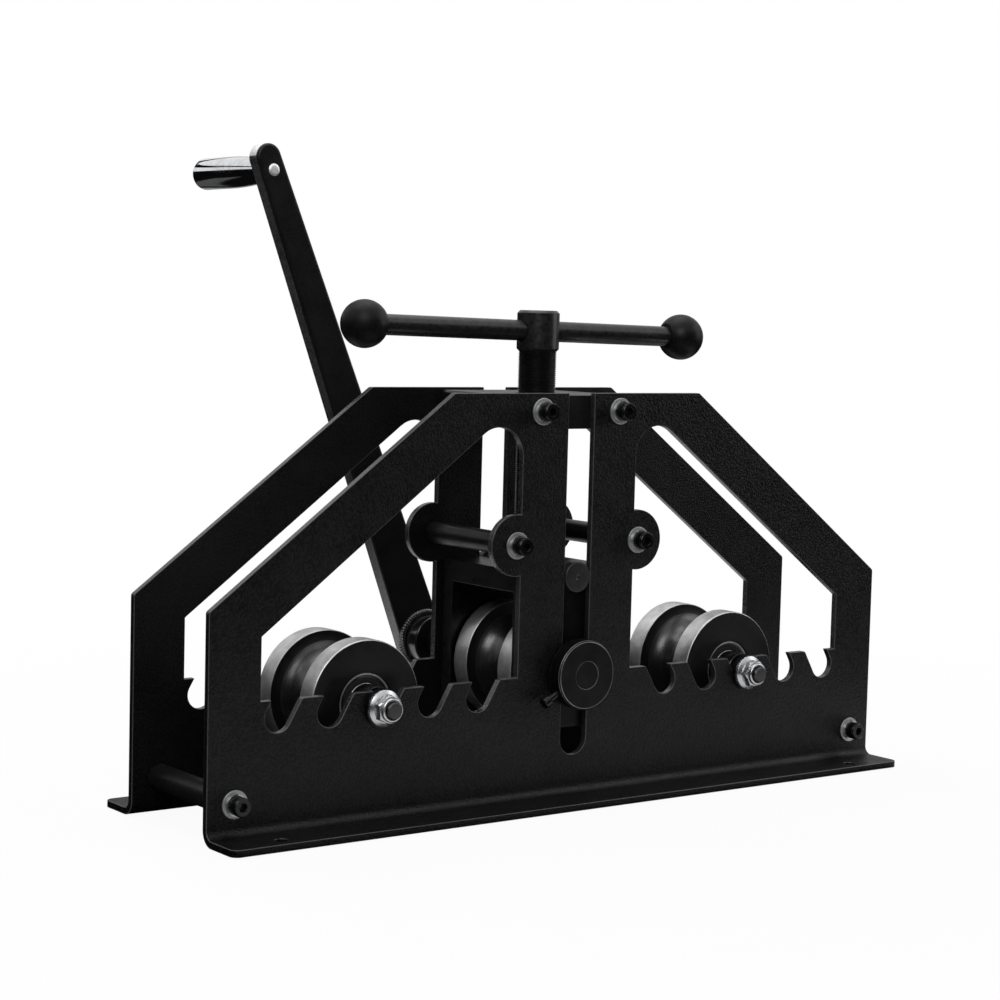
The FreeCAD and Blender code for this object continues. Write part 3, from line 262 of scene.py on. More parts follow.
for word in ("near", "far"):
    NODE_FINISHES.update({
        f"{word}_side_plate": PLATE_COAT, f"{word}_guide_pin": PIN_STEEL,
        f"{word}_shaft_bush": BRONZE, f"{word}_retaining_collar": COLLAR_STEEL})
for node_name, material in NODE_FINISHES.items():
    mesh = cad_nodes[node_name].data
    mesh.materials.clear()
    mesh.materials.append(material)

# ------------------------------------------------------------------ ways of modelling

ROUND_STEPS = 4                 # pieces of a rounded corner
LATHE_STEPS, DIE_STEPS = 96, 160
WELD_GAP = 0.000002             # points closer than this are one point
CREASE, SOFT_CREASE = math.radians(30), math.radians(80)


def select_only(piece):
    """Make one piece the active object and the only one selected."""
    bpy.ops.object.select_all(action="DESELECT")
    piece.select_set(True)
    bpy.context.view_layer.objects.active = piece


def open_piece(piece, kind="VERT"):
    """Go into edit mode on one piece, working on vertices, edges or faces."""
    select_only(piece)
    bpy.context.tool_settings.mesh_select_mode = (kind == "VERT", kind == "EDGE", kind == "FACE")
    bpy.ops.object.mode_set(mode="EDIT")


def close_piece():
    """Leave edit mode."""
    bpy.ops.object.mode_set(mode="OBJECT")


def choose(piece, wanted):
    """Go into edit mode with just the faces selected that a test picks out."""
    mesh = piece.data
    for part in (mesh.vertices, mesh.edges, mesh.polygons):
        part.foreach_set("select", [False] * len(part))
    for face in mesh.polygons:
        face.select = wanted(face)
    open_piece(piece, "FACE")


def close_seams(piece, keep_flat=True):
    """Merge what meets, face everything outwards and shade it smooth across soft angles."""
    open_piece(piece)
    bpy.ops.mesh.select_all(action="SELECT")
    bpy.ops.mesh.remove_doubles(threshold=WELD_GAP)
    bpy.ops.mesh.normals_make_consistent(inside=False)
    close_piece()
    bpy.ops.object.shade_smooth_by_angle(angle=CREASE if keep_flat else SOFT_CREASE)


def dress(piece, name, material):
    """Name a piece and give it one finish all over."""
    piece.name = name
    piece.data.materials.clear()
    piece.data.materials.append(material)
    return piece


def fit(piece, body, slot, *nodes):
    """Hand a finished piece to the frame: its body and the nodes it stands for, which are hidden;
    the slot for its finish is not used.
    """
    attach(piece, body)
    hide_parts(*nodes)


def move_piece(piece, move, turn):
    """Turn a finished piece about the origin, then move it, and settle it there."""
    piece.matrix_world = Matrix.Translation(move) @ turn
    select_only(piece)
    bpy.ops.object.transform_apply(location=True, rotation=True, scale=True)


def placed_copy(piece, name, move, turn):
    """A copy with a mesh of its own, turned about the origin, then moved."""
    copy = bpy.data.objects.new(name, piece.data.copy())
    bpy.context.scene.collection.objects.link(copy)
    move_piece(copy, move, turn)
    return copy


def joined(pieces, name):
    """Several pieces as one object."""
    bpy.ops.object.select_all(action="DESELECT")
    for piece in pieces:
        piece.select_set(True)
    bpy.context.view_layer.objects.active = pieces[0]
    bpy.ops.object.join()
    pieces[0].name = name
    return pieces[0]


def dress_joined(pieces, name, material):
    """Several pieces as one object, with one finish all over."""
    return dress(joined(pieces, name), name, material)


def rounded_outline(corners, closed=True):
    """Corners as (radius, along, rounding); each rounding becomes a short arc."""
    points = []
    for index, (radius, along, rounding) in enumerate(corners):
        here = Vector((radius, along))
        if not rounding:
            points.append(here)
            continue
        before = (Vector(corners[index - 1][:2]) - here).normalized()
        after = (Vector(corners[(index + 1) % len(corners)][:2]) - here).normalized()
        half = before.angle(after) / 2
        middle = here + (before + after).normalized() * rounding / math.sin(half)
        start = before * rounding / math.tan(half) + here - middle
        end = after * rounding / math.tan(half) + here - middle
        points += [middle + start.slerp(end, step / ROUND_STEPS).normalized() * rounding
                   for step in range(ROUND_STEPS + 1)]
    return points + points[:1] if closed else points


def draw_chain(name, points):
    """Draw a chain of edges from point to point, starting with a single vertex."""
    bpy.ops.object.select_all(action="DESELECT")
    bpy.ops.mesh.primitive_plane_add(size=0.001, location=ORIGIN)
    piece = bpy.context.object
    piece.name = name
    open_piece(piece)
    bpy.ops.mesh.select_all(action="SELECT")
    bpy.ops.mesh.merge(type="CENTER")
    bpy.ops.transform.translate(value=points[0])
    for before, after in zip(points, points[1:]):
        bpy.ops.mesh.extrude_region_move(TRANSFORM_OT_translate={"value": after - before})
    return piece


def lathe(name, outline, centre=ORIGIN, axis=Y_AXIS, steps=LATHE_STEPS):
    """Turn an outline of (radius, along) points round an axis."""
    out = Vector(X_AXIS)
    middle = Vector(centre)
    way = Vector(axis)
    points = [middle + out * radius + way * along for radius, along in outline]
    piece = draw_chain(name, points)
    bpy.ops.mesh.select_all(action="SELECT")
    bpy.ops.mesh.spin(steps=steps, angle=math.tau, center=middle, axis=way)
    close_piece()
    close_seams(piece)
    return piece


def threaded(name, crest, root, pitch, turns, low, high, steps=64):
    """A screw thread up the Z axis, cut off square at both ends."""
    points = [Vector((radius, 0, low - pitch * 2 + pitch * share)) for radius, share in (
        (root, 0.0), (root, 0.06), (crest, 0.44), (crest, 0.56), (root, 0.94), (root, 1.0))]
    piece = draw_chain(name, points)
    close_piece()
    coil = piece.modifiers.new("coil", "SCREW")
    coil.axis = "Z"
    coil.screw_offset = pitch
    coil.iterations = turns
    coil.steps = coil.render_steps = steps
    coil.use_merge_vertices = True
    coil.merge_threshold = WELD_GAP
    bpy.ops.object.modifier_apply(modifier=coil.name)
    for height, upward in ((low, -1), (high, 1)):
        open_piece(piece)
        bpy.ops.mesh.select_all(action="SELECT")
        bpy.ops.mesh.bisect(plane_co=(0, 0, height), plane_no=(0, 0, upward),
                            use_fill=True, clear_outer=True, threshold=0.0000001)
        close_piece()
    close_seams(piece)
    return piece


def softened(node_name, body, slot, finish, edge_finish, width):
    """A CAD piece with its sharp edges rounded off and the rounded strips painted in an edge
    finish, mostly lighter than the body: a painted highlight along the edges.
    """
    source = cad_nodes[node_name]
    piece = bpy.data.objects.new(f"{node_name}_softened", source.data.copy())
    bpy.context.scene.collection.objects.link(piece)
    piece.matrix_world = source.matrix_world
    select_only(piece)
    bpy.ops.object.transform_apply(location=True, rotation=True, scale=True)
    dress(piece, piece.name, finish)
    piece.data.materials.append(edge_finish)
    open_piece(piece)
    bpy.ops.mesh.select_all(action="SELECT")
    bpy.ops.mesh.remove_doubles(threshold=WELD_GAP)
    bpy.ops.mesh.dissolve_limited(angle_limit=math.radians(0.3))
    bpy.ops.mesh.normals_make_consistent(inside=False)
    close_piece()
    bevel = piece.modifiers.new("soft_edges", "BEVEL")
    bevel.width = width
    bevel.segments = 2
    bevel.limit_method = "ANGLE"
    bevel.angle_limit = math.radians(38)
    bevel.use_clamp_overlap = False
    # the rounded strips take the edge finish: a painted highlight where it is lighter than the
    # body
    bevel.material = 1
    bpy.ops.object.modifier_apply(modifier=bevel.name)
    bpy.ops.object.shade_smooth_by_angle(angle=math.radians(35))
    even = piece.modifiers.new("even_shading", "WEIGHTED_NORMAL")
    even.weight = 100
    even.keep_sharp = True
    bpy.ops.object.modifier_apply(modifier=even.name)
    fit(piece, body, slot, node_name)
    return piece


def repaint(piece, finish, wanted):
    """Give the faces that a test picks out another finish."""
    piece.data.materials.append(finish)
    index = len(piece.data.materials) - 1
    for face in piece.data.polygons:
        if wanted(face):
            face.material_index = index


def turn_about(axis, degrees):
    """A turn about X, Y or Z through the origin."""
    return Matrix.Rotation(math.radians(degrees), 4, axis)


def slice_number(face, slices):
    """Which of the equal slices round the Z axis a face lies in."""
    return round(math.atan2(*face.center.yx) / math.tau * slices - 0.5)


# ------------------------------------------------------------------ frame: plates and fasteners

FOOT_TOP = 0.02                 # above this a plate's narrow faces are its cut windows and ends

for word in ("near", "far"):
    plate = softened(f"{word}_side_plate", "frame", "plate_coat", PLATE_COAT, PLATE_EDGE_HIGHLIGHT, 0.0005)
    # the plates' cut windows and ends are painted lighter than their faces: a painted highlight
    repaint(plate, CUT_FACE_HIGHLIGHT, lambda face: abs(face.normal.y) < 0.05 and face.material_index == 0
            and abs(face.center.y) < OUTER_FACE + 0.0005 and face.center.z > FOOT_TOP)
softened("nut_block", "frame", "smooth_coat", BAR_COAT, CUT_FACE_HIGHLIGHT, 0.0004)


def knurled_screw():
    """Socket cap screw standing on z = 0, with knurled flanks and a six-sided socket."""
    radius, tall, ring, flank_tall, knurls = 0.0065, 0.008, 0.0039, 0.0064, 72
    socket_corner, socket_deep = 0.0034641, 0.0037
    bpy.ops.mesh.primitive_cylinder_add(
        vertices=knurls, radius=radius, depth=flank_tall, location=(0, 0, flank_tall / 2),
        end_fill_type="NGON")
    screw = bpy.context.object
    bpy.ops.object.transform_apply(location=True)
    choose(screw, lambda face: face.normal.z > 0.9)
    for rise, width in ((0.0003, 0.965), (0.0009, 0.985), (0.0004, 0.93)):
        bpy.ops.mesh.extrude_region_move(TRANSFORM_OT_translate={"value": (0, 0, rise)})
        bpy.ops.transform.resize(value=(width, width, 1), center_override=ORIGIN)
    bpy.ops.mesh.extrude_region_move(TRANSFORM_OT_translate={"value": ORIGIN})
    narrowed = ring / (radius * 0.884)
    bpy.ops.transform.resize(value=(narrowed, narrowed, 1), center_override=ORIGIN)
    bpy.ops.mesh.delete(type="ONLY_FACE")
    bpy.ops.mesh.select_mode(type="VERT")
    bpy.ops.mesh.select_all(action="DESELECT")
    bpy.ops.mesh.primitive_circle_add(vertices=6, radius=socket_corner, fill_type="NOTHING",
                                      location=(0, 0, tall))
    bpy.ops.mesh.subdivide(number_cuts=11)
    bpy.ops.mesh.select_mode(type="EDGE")
    bpy.ops.mesh.select_all(action="DESELECT")
    bpy.ops.mesh.select_non_manifold(extend=False)
    bpy.ops.mesh.bridge_edge_loops()
    bpy.ops.mesh.select_all(action="DESELECT")
    bpy.ops.mesh.select_non_manifold(extend=False)
    bpy.ops.mesh.extrude_region_move(TRANSFORM_OT_translate={"value": (0, 0, -0.0003)})
    bpy.ops.transform.resize(value=(0.93, 0.93, 1), center_override=ORIGIN)
    bpy.ops.mesh.extrude_region_move(TRANSFORM_OT_translate={"value": (0, 0, -socket_deep)})
    bpy.ops.mesh.edge_face_add()
    close_piece()
    choose(screw, lambda face: abs(face.normal.z) < 0.1 and face.center.z < flank_tall + 0.0001
           and face.center.xy.length > radius - 0.0001 and slice_number(face, knurls) % 2)
    bpy.ops.mesh.inset(thickness=0.00012, use_individual=True)
    bpy.ops.mesh.extrude_region_shrink_fatten(TRANSFORM_OT_shrink_fatten={"value": -0.00022})
    close_piece()
    close_seams(screw)
    return dress(screw, "knurled_screw", BLACK_OXIDE)


def flat_washer():
    """Plain washer on z = 0, with the soft edge that stamping leaves."""
    hole, rim, thick = 0.0045, 0.0096, 0.0016
    washer = lathe("flat_washer", rounded_outline([
        (hole, 0, 0.0002), (rim, 0, 0.0004), (rim, thick, 0.0005), (hole, thick, 0.0002)]),
        axis=Z_AXIS, steps=72)
    return dress(washer, "flat_washer", WASHER_ZINC)


screw_master = knurled_screw()
washer_master = flat_washer()
screws, washers = [], []
for plate_side in (-1, 1):
    facing = turn_about("X", -90 * plate_side)
    for number, (along, up) in enumerate(SCREW_SPOTS):
        spin = turn_about("Z", 17 * number + 5 * plate_side)
        screws.append(placed_copy(screw_master, "cap_screw", (
            along, plate_side * (OUTER_FACE + WASHER_STACK), up), facing @ spin))
        washers.append(placed_copy(washer_master, "washer", (
            along, plate_side * OUTER_FACE, up), facing @ spin))
fit(joined(screws, "screw_heads"), "frame", "black_screw", "cap_screws")
fit(joined(washers, "soft_flat_washers"), "frame", "zinc", "flat_washers")
for master in (screw_master, washer_master):
    bpy.data.objects.remove(master)


def flange_nut():
    """M12 flange nut on z = 0: a toothed flange, a hexagon turned off at the top, a collar."""
    bore, rim, flange_tall, teeth_steps = 0.0062, 0.0127, 0.0036, 120
    corner, hex_tall, hex_middle = 0.0103923, 0.0072, 0.0056
    blank_low, blank_high = 0.0021, 0.0092
    collar_low, collar_high = 0.0090, 0.0120
    flange = lathe("nut_flange", rounded_outline([
        (bore, 0, 0), (rim, 0, 0.0003), (rim, 0.0019, 0.0005), (0.0098, flange_tall, 0.0004),
        (bore, flange_tall, 0)]), axis=Z_AXIS, steps=teeth_steps)
    choose(flange, lambda face: abs(face.normal.z) < 0.1 and face.center.xy.length > rim - 0.0002
           and slice_number(face, teeth_steps) % 3 == 0)
    bpy.ops.mesh.extrude_region_shrink_fatten(TRANSFORM_OT_shrink_fatten={"value": -0.00025})
    close_piece()
    close_seams(flange)
    bpy.ops.mesh.primitive_cylinder_add(vertices=6, radius=corner, depth=hex_tall,
                                        location=(0, 0, hex_middle))
    hexagon = bpy.context.object
    bpy.ops.object.transform_apply(location=True)
    blank = lathe("nut_blank", [
        (0.0, blank_low), (0.0106, blank_low), (0.0106, 0.0079), (0.0088, blank_high),
        (0.0, blank_high)], axis=Z_AXIS)
    turned_off = hexagon.modifiers.new("turned_off", "BOOLEAN")
    turned_off.operation = "INTERSECT"
    turned_off.solver = "EXACT"
    turned_off.object = blank
    select_only(hexagon)
    bpy.ops.object.modifier_apply(modifier=turned_off.name)
    bpy.data.objects.remove(blank)
    edges = hexagon.modifiers.new("edges", "BEVEL")
    edges.width = 0.0002
    edges.segments = 2
    edges.limit_method = "ANGLE"
    edges.angle_limit = math.radians(28)
    edges.use_clamp_overlap = False
    bpy.ops.object.modifier_apply(modifier=edges.name)
    bpy.ops.object.shade_smooth_by_angle(angle=CREASE)
    collar = lathe("nut_collar", rounded_outline([
        (0.0060, collar_low, 0), (0.0083, collar_low, 0), (0.0083, collar_high, 0.0012),
        (0.0066, collar_high, 0.0003), (0.0060, 0.0114, 0)]), axis=Z_AXIS)
    return dress_joined([flange, hexagon, collar], "flange_nut", ZINC)


def stud_end():
    """The chamfered end of an axle's thread, standing out of its nut."""
    crest, root, pitch, tip_low, tip_high = 0.0059, 0.0052, 0.00125, 0.0136, 0.01475
    thread = threaded("stud_thread", crest, root, pitch, 8, 0.0085, 0.0139, 48)
    tip = lathe("stud_tip", rounded_outline([
        (0.0, tip_low, 0), (crest, tip_low, 0), (crest, 0.0138, 0.0001),
        (0.0051, tip_high, 0.0002), (0.0, tip_high, 0)], closed=False), axis=Z_AXIS)
    return dress_joined([thread, tip], "stud_end", STUD_STEEL)


nut_master = flange_nut()
stud_master = stud_end()
nuts, studs = [], {"left": [], "right": []}
for plate_side in (-1, 1):
    facing = turn_about("X", -90 * plate_side)
    for number, word in enumerate(studs):
        along, _, up = DIE_SPOTS[word]
        spin = turn_about("Z", 23 * number - 8 * plate_side)
        place = (along, plate_side * NUT_SEAT, up)
        nuts.append(placed_copy(nut_master, "nut", place, facing @ spin))
        studs[word].append(placed_copy(stud_master, "stud", place, facing @ spin))
fit(joined(nuts, "turned_flange_nuts"), "frame", "zinc", "axle_flange_nuts")
for word, ends in studs.items():
    fit(joined(ends, f"{word}_axle_stud_ends"), "frame", "ground_steel")
for master in (nut_master, stud_master):
    bpy.data.objects.remove(master)

# ------------------------------------------------------------------ idler dies and their bearings


def die_outline(half_wide, radius, groove, bore):
    """Outline of a grooved die round its bore; bore lists the inner corners from end to end."""
    corners = [(radius, half_wide, 0.0011), (radius, groove, 0.0009)]
    for step in range(1, GROOVE_STEPS):
        turn = math.pi * step / GROOVE_STEPS
        corners.append((radius - groove * math.sin(turn), groove * math.cos(turn), 0))
    corners += [(radius, -groove, 0.0009), (radius, -half_wide, 0.0011)]
    return rounded_outline(bore + corners)


def from_axis(face, centre):
    """How far a face's middle is from an axis along Y."""
    return (face.center - Vector(centre)).xz.length


def paint_die(die, word):
    """Black end faces, a bare groove and brighter lands with their rounded rims, the lands partly
    worn steel and partly a painted highlight.
    """
    dress(die, die.name, GROOVE_STEEL[word])
    repaint(die, DIE_FACE, lambda face: abs(face.normal.y) > 0.9)
    repaint(die, LAND_WEAR_AND_HIGHLIGHT[word], lambda face: abs(face.normal.y) <= 0.9
            and abs(face.center.y) > LAND_START and from_axis(face, DIE_SPOTS[word]) > LAND_LOW)


DIE_RADIUS, DIE_HALF, GROOVE = 0.04375, 0.035, 0.019
LAND_START, LAND_LOW, GROOVE_STEPS = 0.0187, 0.042, 24
SEAT, WAIST, SEAT_DEEP = 0.021, 0.018, 0.022
IDLER_BORE = [(SEAT, -DIE_HALF, 0.0006), (SEAT, -SEAT_DEEP, 0), (WAIST, -SEAT_DEEP, 0),
              (WAIST, SEAT_DEEP, 0), (SEAT, SEAT_DEEP, 0), (SEAT, DIE_HALF, 0.0006)]
RING_LOW, RING_HIGH, RIM = 0.022, 0.034, 0.0196
OUTER_BORE, OUTER_RIM = 0.0176, 0.02095
INNER_BORE, INNER_RIM = 0.0101, 0.0137
RING_STEP = 0.0002              # width of the step inside the outer ring's bright rim
SEAL_IN, SEAL_OUT, SEAL_LOW, SEAL_HIGH = 0.0138, 0.01755, 0.0334, 0.0337

for word in ("left", "right"):
    centre = DIE_SPOTS[word]
    die = lathe(f"{word}_turned_die", die_outline(DIE_HALF, DIE_RADIUS, GROOVE, IDLER_BORE),
                centre, steps=DIE_STEPS)
    paint_die(die, word)
    fit(die, f"{word}_idler", "black_die", f"{word}_idler_die")
    outer, inner, seals = [], [], []
    for end in (-1, 1):
        outer.append(lathe("outer_ring", rounded_outline([
            (OUTER_BORE, end * RING_LOW, 0), (OUTER_RIM, end * RING_LOW, 0.0005),
            (OUTER_RIM, end * RING_HIGH, 0.0005), (RIM, end * RING_HIGH, 0.0001),
            (RIM - RING_STEP, end * (RING_HIGH - 0.0003), 0),
            (OUTER_BORE, end * (RING_HIGH - 0.0003), 0.0001)]), centre))
        inner.append(lathe("inner_ring", rounded_outline([
            (INNER_BORE, end * RING_LOW, 0.0004), (INNER_RIM, end * RING_LOW, 0),
            (INNER_RIM, end * RING_HIGH, 0.0003), (INNER_BORE, end * RING_HIGH, 0.0005)]), centre))
        seals.append(lathe("seal", rounded_outline([
            (SEAL_IN, end * 0.0325, 0), (SEAL_OUT, end * 0.0325, 0),
            (SEAL_OUT, end * SEAL_LOW, 0.0001), (0.0171, end * SEAL_LOW, 0),
            (0.0169, end * SEAL_HIGH, 0.0001), (0.0149, end * SEAL_HIGH, 0.0001),
            (0.0147, end * SEAL_LOW, 0), (SEAL_IN, end * 0.0335, 0.0001)]), centre))
    # the outer rings' faces stay dark as painted shade; their rims and the inner rings' ends are
    # painted bright as highlights
    outer_pair = dress_joined(outer, f"{word}_outer_rings", RING_SHADED_STEEL[word])
    repaint(outer_pair, RING_RIM_HIGHLIGHT, lambda face: abs(face.normal.y) > 0.1
            and from_axis(face, centre) > RIM - RING_STEP)
    fit(outer_pair, f"{word}_idler", "ground_steel", f"{word}_bearing_outer_rings")
    inner_pair = dress_joined(inner, f"{word}_inner_rings", RING_SHADED_STEEL[word])
    repaint(inner_pair, RING_RIM_HIGHLIGHT, lambda face: abs(face.normal.y) > 0.1)
    fit(inner_pair, "frame", "ground_steel", f"{word}_bearing_inner_rings")
    seal_pair = dress_joined(seals, f"{word}_seals", SEAL_RUBBER)
    fit(seal_pair, f"{word}_idler", "seal_rubber", f"{word}_bearing_seals")

# ------------------------------------------------------------------ yoke, guide pins and drive

yoke = softened("yoke", "carriage", "gloss_coat", GLOSS_COAT, GLOSS_EDGE, 0.0006)
# the yoke's faces turned along X are a lighter copy of its enamel: painted light
repaint(yoke, YOKE_SIDE_PAINTED_LIGHT, lambda face: abs(face.normal.x) > 0.9 and face.material_index == 0)
for word in ("near", "far"):
    softened(f"{word}_retaining_collar", "drive", "black_die", COLLAR_STEEL, STEEL_EDGE_HIGHLIGHT, 0.0003)

PIN_NECK, PIN_HEAD, PIN_START, PIN_STEP, PIN_FACE = 0.004, 0.01115, 0.0325, 0.0485, 0.0549
for side, word in ((-1, "near"), (1, "far")):
    pin = lathe(f"{word}_dimpled_guide_pin", rounded_outline([
        (0.0, side * PIN_START, 0), (PIN_NECK, side * PIN_START, 0),
        (PIN_NECK, side * PIN_STEP, 0), (PIN_HEAD, side * PIN_STEP, 0),
        (PIN_HEAD, side * PIN_FACE, 0.0011), (0.0022, side * PIN_FACE, 0.0003),
        (0.0, side * 0.0538, 0)], closed=False), (0, 0, GUIDE_PIN_UP))
    dress(pin, pin.name, PIN_STEEL)
    fit(pin, "carriage", "black_screw", f"{word}_guide_pin")

SHAFT_BORE = 0.01
drive_die = lathe("turned_drive_die", die_outline(DIE_HALF, DIE_RADIUS, GROOVE, [
    (SHAFT_BORE, -DIE_HALF, 0.0008), (SHAFT_BORE, DIE_HALF, 0.0008)]),
    DIE_SPOTS["drive"], steps=DIE_STEPS)
paint_die(drive_die, "drive")
fit(drive_die, "drive", "black_die", "drive_die")

# ------------------------------------------------------------------ lead screw, head and tommy bar

THREAD_CREST, THREAD_ROOT, THREAD_PITCH, THREAD_TURNS = 0.014, 0.01325, 0.0015, 108
THREAD_LOW, THREAD_HIGH = 0.1668, 0.321
STEM_RADIUS, STEM_LOW, STEM_HIGH = 0.01, 0.1435, 0.1672
SPIGOT_RADIUS, SPIGOT_LOW, SPIGOT_HIGH = 0.009, 0.3206, 0.327

thread = threaded("lead_thread", THREAD_CREST, THREAD_ROOT, THREAD_PITCH, THREAD_TURNS,
                  THREAD_LOW, THREAD_HIGH)
stem = lathe("lead_screw_stem", rounded_outline([
    (0.0, STEM_LOW, 0), (STEM_RADIUS, STEM_LOW, 0.0005), (STEM_RADIUS, STEM_HIGH, 0),
    (0.0, STEM_HIGH, 0)], closed=False), axis=Z_AXIS)
spigot = lathe("lead_screw_spigot", rounded_outline([
    (0.0, SPIGOT_LOW, 0), (SPIGOT_RADIUS, SPIGOT_LOW, 0), (SPIGOT_RADIUS, SPIGOT_HIGH, 0.0004),
    (0.0, SPIGOT_HIGH, 0)], closed=False), axis=Z_AXIS)
lead = dress_joined([thread, stem, spigot], "threaded_lead_screw", SCREW_STEEL)
fit(lead, "feed_screw", "thread_steel", "lead_screw")
softened("screw_head", "feed_screw", "smooth_coat", HEAD_STEEL, GLOSS_EDGE, 0.0004)

KNOB_RADIUS, KNOB_FLAT = 0.01715, 0.014
BAR_LIE = turn_about("Z", BAR_TURN) @ turn_about("Y", BAR_SAG)
for side, word in ((-1, "left"), (1, "right")):
    reach = BAR_OFFSET + side * BAR_HALF
    bpy.ops.mesh.primitive_uv_sphere_add(segments=96, ring_count=64, radius=KNOB_RADIUS)
    knob = bpy.context.object
    open_piece(knob)
    bpy.ops.mesh.select_all(action="SELECT")
    bpy.ops.mesh.bisect(plane_co=(-side * KNOB_FLAT, 0, 0), plane_no=(-side, 0, 0),
                        use_fill=True, clear_outer=True)
    close_piece()
    move_piece(knob, BAR_LIE @ Vector((reach, 0, 0)) + Vector((0, 0, BAR_UP)), BAR_LIE)
    close_seams(knob)
    dress(knob, f"{word}_ball_knob", KNOB_COAT)
    fit(knob, "turning_bar", "gloss_coat", f"{word}_bar_knob")

# ------------------------------------------------------------------ crank: arm, hub, pin, grip

arm = softened("crank_arm", "drive", "smooth_coat", BAR_COAT, CUT_EDGE_HIGHLIGHT, 0.0002)
# the arm's flanks are painted lighter than its web in the same coat: painted light
repaint(arm, ARM_FLANK_PAINTED_LIGHT, lambda face: abs(face.normal.y) < 0.2 and face.material_index == 0)
UP_ARM = Vector((-math.sin(CRANK_LEAN), 0, math.cos(CRANK_LEAN)))
HEAD_ALONG, FLANGE_END = 0.3948, 0.39745
WEB_INSIDE, ARM_BACK = 0.1395, 0.15
WALL_IN, WALL_OUT = 0.00732, 0.01028


def arm_head_wall():
    """The channel's flange carried round the arm's head, its faces turned up and to the left
    painted bright: a painted highlight.
    """
    shaft_spot = Vector(DIE_SPOTS["drive"])
    wall = lathe("arm_head_wall", rounded_outline([
        (WALL_IN, WEB_INSIDE, 0), (WALL_OUT, WEB_INSIDE, 0),
        (WALL_OUT, ARM_BACK, 0.0005), (WALL_IN, ARM_BACK, 0.0003)]),
        tuple(shaft_spot + UP_ARM * HEAD_ALONG))
    open_piece(wall)
    bpy.ops.mesh.select_all(action="SELECT")
    bpy.ops.mesh.bisect(plane_co=shaft_spot + UP_ARM * FLANGE_END, plane_no=UP_ARM,
                        use_fill=True, clear_inner=True)
    close_piece()
    close_seams(wall)
    dress(wall, "arm_head_wall", ARM_FLANK_PAINTED_LIGHT)
    # faces turned up and to the left painted near white: a painted highlight
    repaint(wall, HEAD_WALL_HIGHLIGHT, lambda face: face.normal.z > 0.05 and face.normal.x < -0.12
            and abs(face.normal.y) < 0.95)
    return wall


fit(arm_head_wall(), "drive", "smooth_coat")
softened("crank_hub", "drive", "smooth_coat", HUB_COAT, GLOSS_EDGE, 0.0004)


def weld_bead():
    """A rippled weld bead, fuller here and thinner there, where the hub meets the web."""
    slices, bead_radius, bead_half, weld_out = 256, 0.0212, 0.0025, 0.1358
    bpy.ops.mesh.primitive_torus_add(major_segments=slices, minor_segments=20,
                                     major_radius=bead_radius, minor_radius=bead_half)
    bead = bpy.context.object
    for phase, swell in ((0, -0.0004), (2, 0.0003)):
        choose(bead, lambda face: slice_number(face, slices) % 4 == phase)
        bpy.ops.transform.shrink_fatten(value=swell)
        close_piece()
    for lobe, swell in ((3, 0.0003), (7, -0.0003), (12, 0.0003)):
        choose(bead, lambda face: abs(math.atan2(*face.center.yx) - lobe / 2 + 3.2) < 0.3)
        bpy.ops.transform.shrink_fatten(value=swell)
        close_piece()
    move_piece(bead, (0, weld_out, DRIVE_UP), turn_about("X", 90))
    close_seams(bead, keep_flat=False)
    return dress(bead, "hub_weld", WELD_COAT)


fit(weld_bead(), "drive", "smooth_coat")

PIN_PLACE = (-CRANK_REACH * math.sin(CRANK_LEAN), 0,
             DRIVE_UP + CRANK_REACH * math.cos(CRANK_LEAN))
RIVET_RADIUS, SHANK_RADIUS, SHOULDER_RADIUS = 0.0046, 0.005, 0.0075
SHANK_END, SHOULDER_END = 0.2347, 0.2387
pin = lathe("riveted_grip_pin", rounded_outline([
    (0.0, 0.1361, 0), (0.0030, 0.1363, 0.001), (RIVET_RADIUS, 0.1369, 0.0004),
    (RIVET_RADIUS, 0.140, 0), (SHOULDER_RADIUS, 0.140, 0), (SHOULDER_RADIUS, ARM_BACK, 0.0004),
    (SHANK_RADIUS, ARM_BACK, 0), (SHANK_RADIUS, SHANK_END, 0),
    (SHOULDER_RADIUS, SHANK_END, 0.0004), (SHOULDER_RADIUS, SHOULDER_END, 0.0009),
    (0.0, SHOULDER_END, 0)], closed=False), PIN_PLACE)
dress(pin, pin.name, RIVET_STEEL)
fit(pin, "drive", "ground_steel", "grip_pin")

GRIP_START, GRIP_END, GRIP_RADIUS, GRIP_BORE = 0.1516, 0.2401, 0.012, 0.00508
SWELL_LONG, SWELL_DROP, SWELL_STEPS = 0.048, 0.0032, 16  # the grip thins towards the arm
SWELL_RADIUS = SWELL_LONG ** 2 / (2 * SWELL_DROP) + SWELL_DROP / 2
MOUTH_RADIUS, MOUTH_DEEP = 0.0082, 0.006
grip_outline = [(GRIP_BORE, GRIP_START, 0), (0.0088, GRIP_START, 0.0009)]
for step in range(1, SWELL_STEPS + 1):
    short = SWELL_LONG * (1 - step / SWELL_STEPS)
    swell = math.sqrt(SWELL_RADIUS ** 2 - short ** 2)
    grip_outline.append((GRIP_RADIUS - SWELL_RADIUS + swell, GRIP_START + SWELL_LONG - short, 0))
grip_outline += [(GRIP_RADIUS, GRIP_END, 0.0025), (MOUTH_RADIUS, GRIP_END, 0.0006),
                 (MOUTH_RADIUS, GRIP_END - MOUTH_DEEP, 0), (GRIP_BORE, GRIP_END - MOUTH_DEEP, 0)]
grip = lathe("polished_grip", rounded_outline(grip_outline), PIN_PLACE, steps=DIE_STEPS)
dress(grip, grip.name, CHROME)
fit(grip, "grip", "chrome_grip", "crank_grip")

# ------------------------------------------------------------------ camera, lamps and backdrop

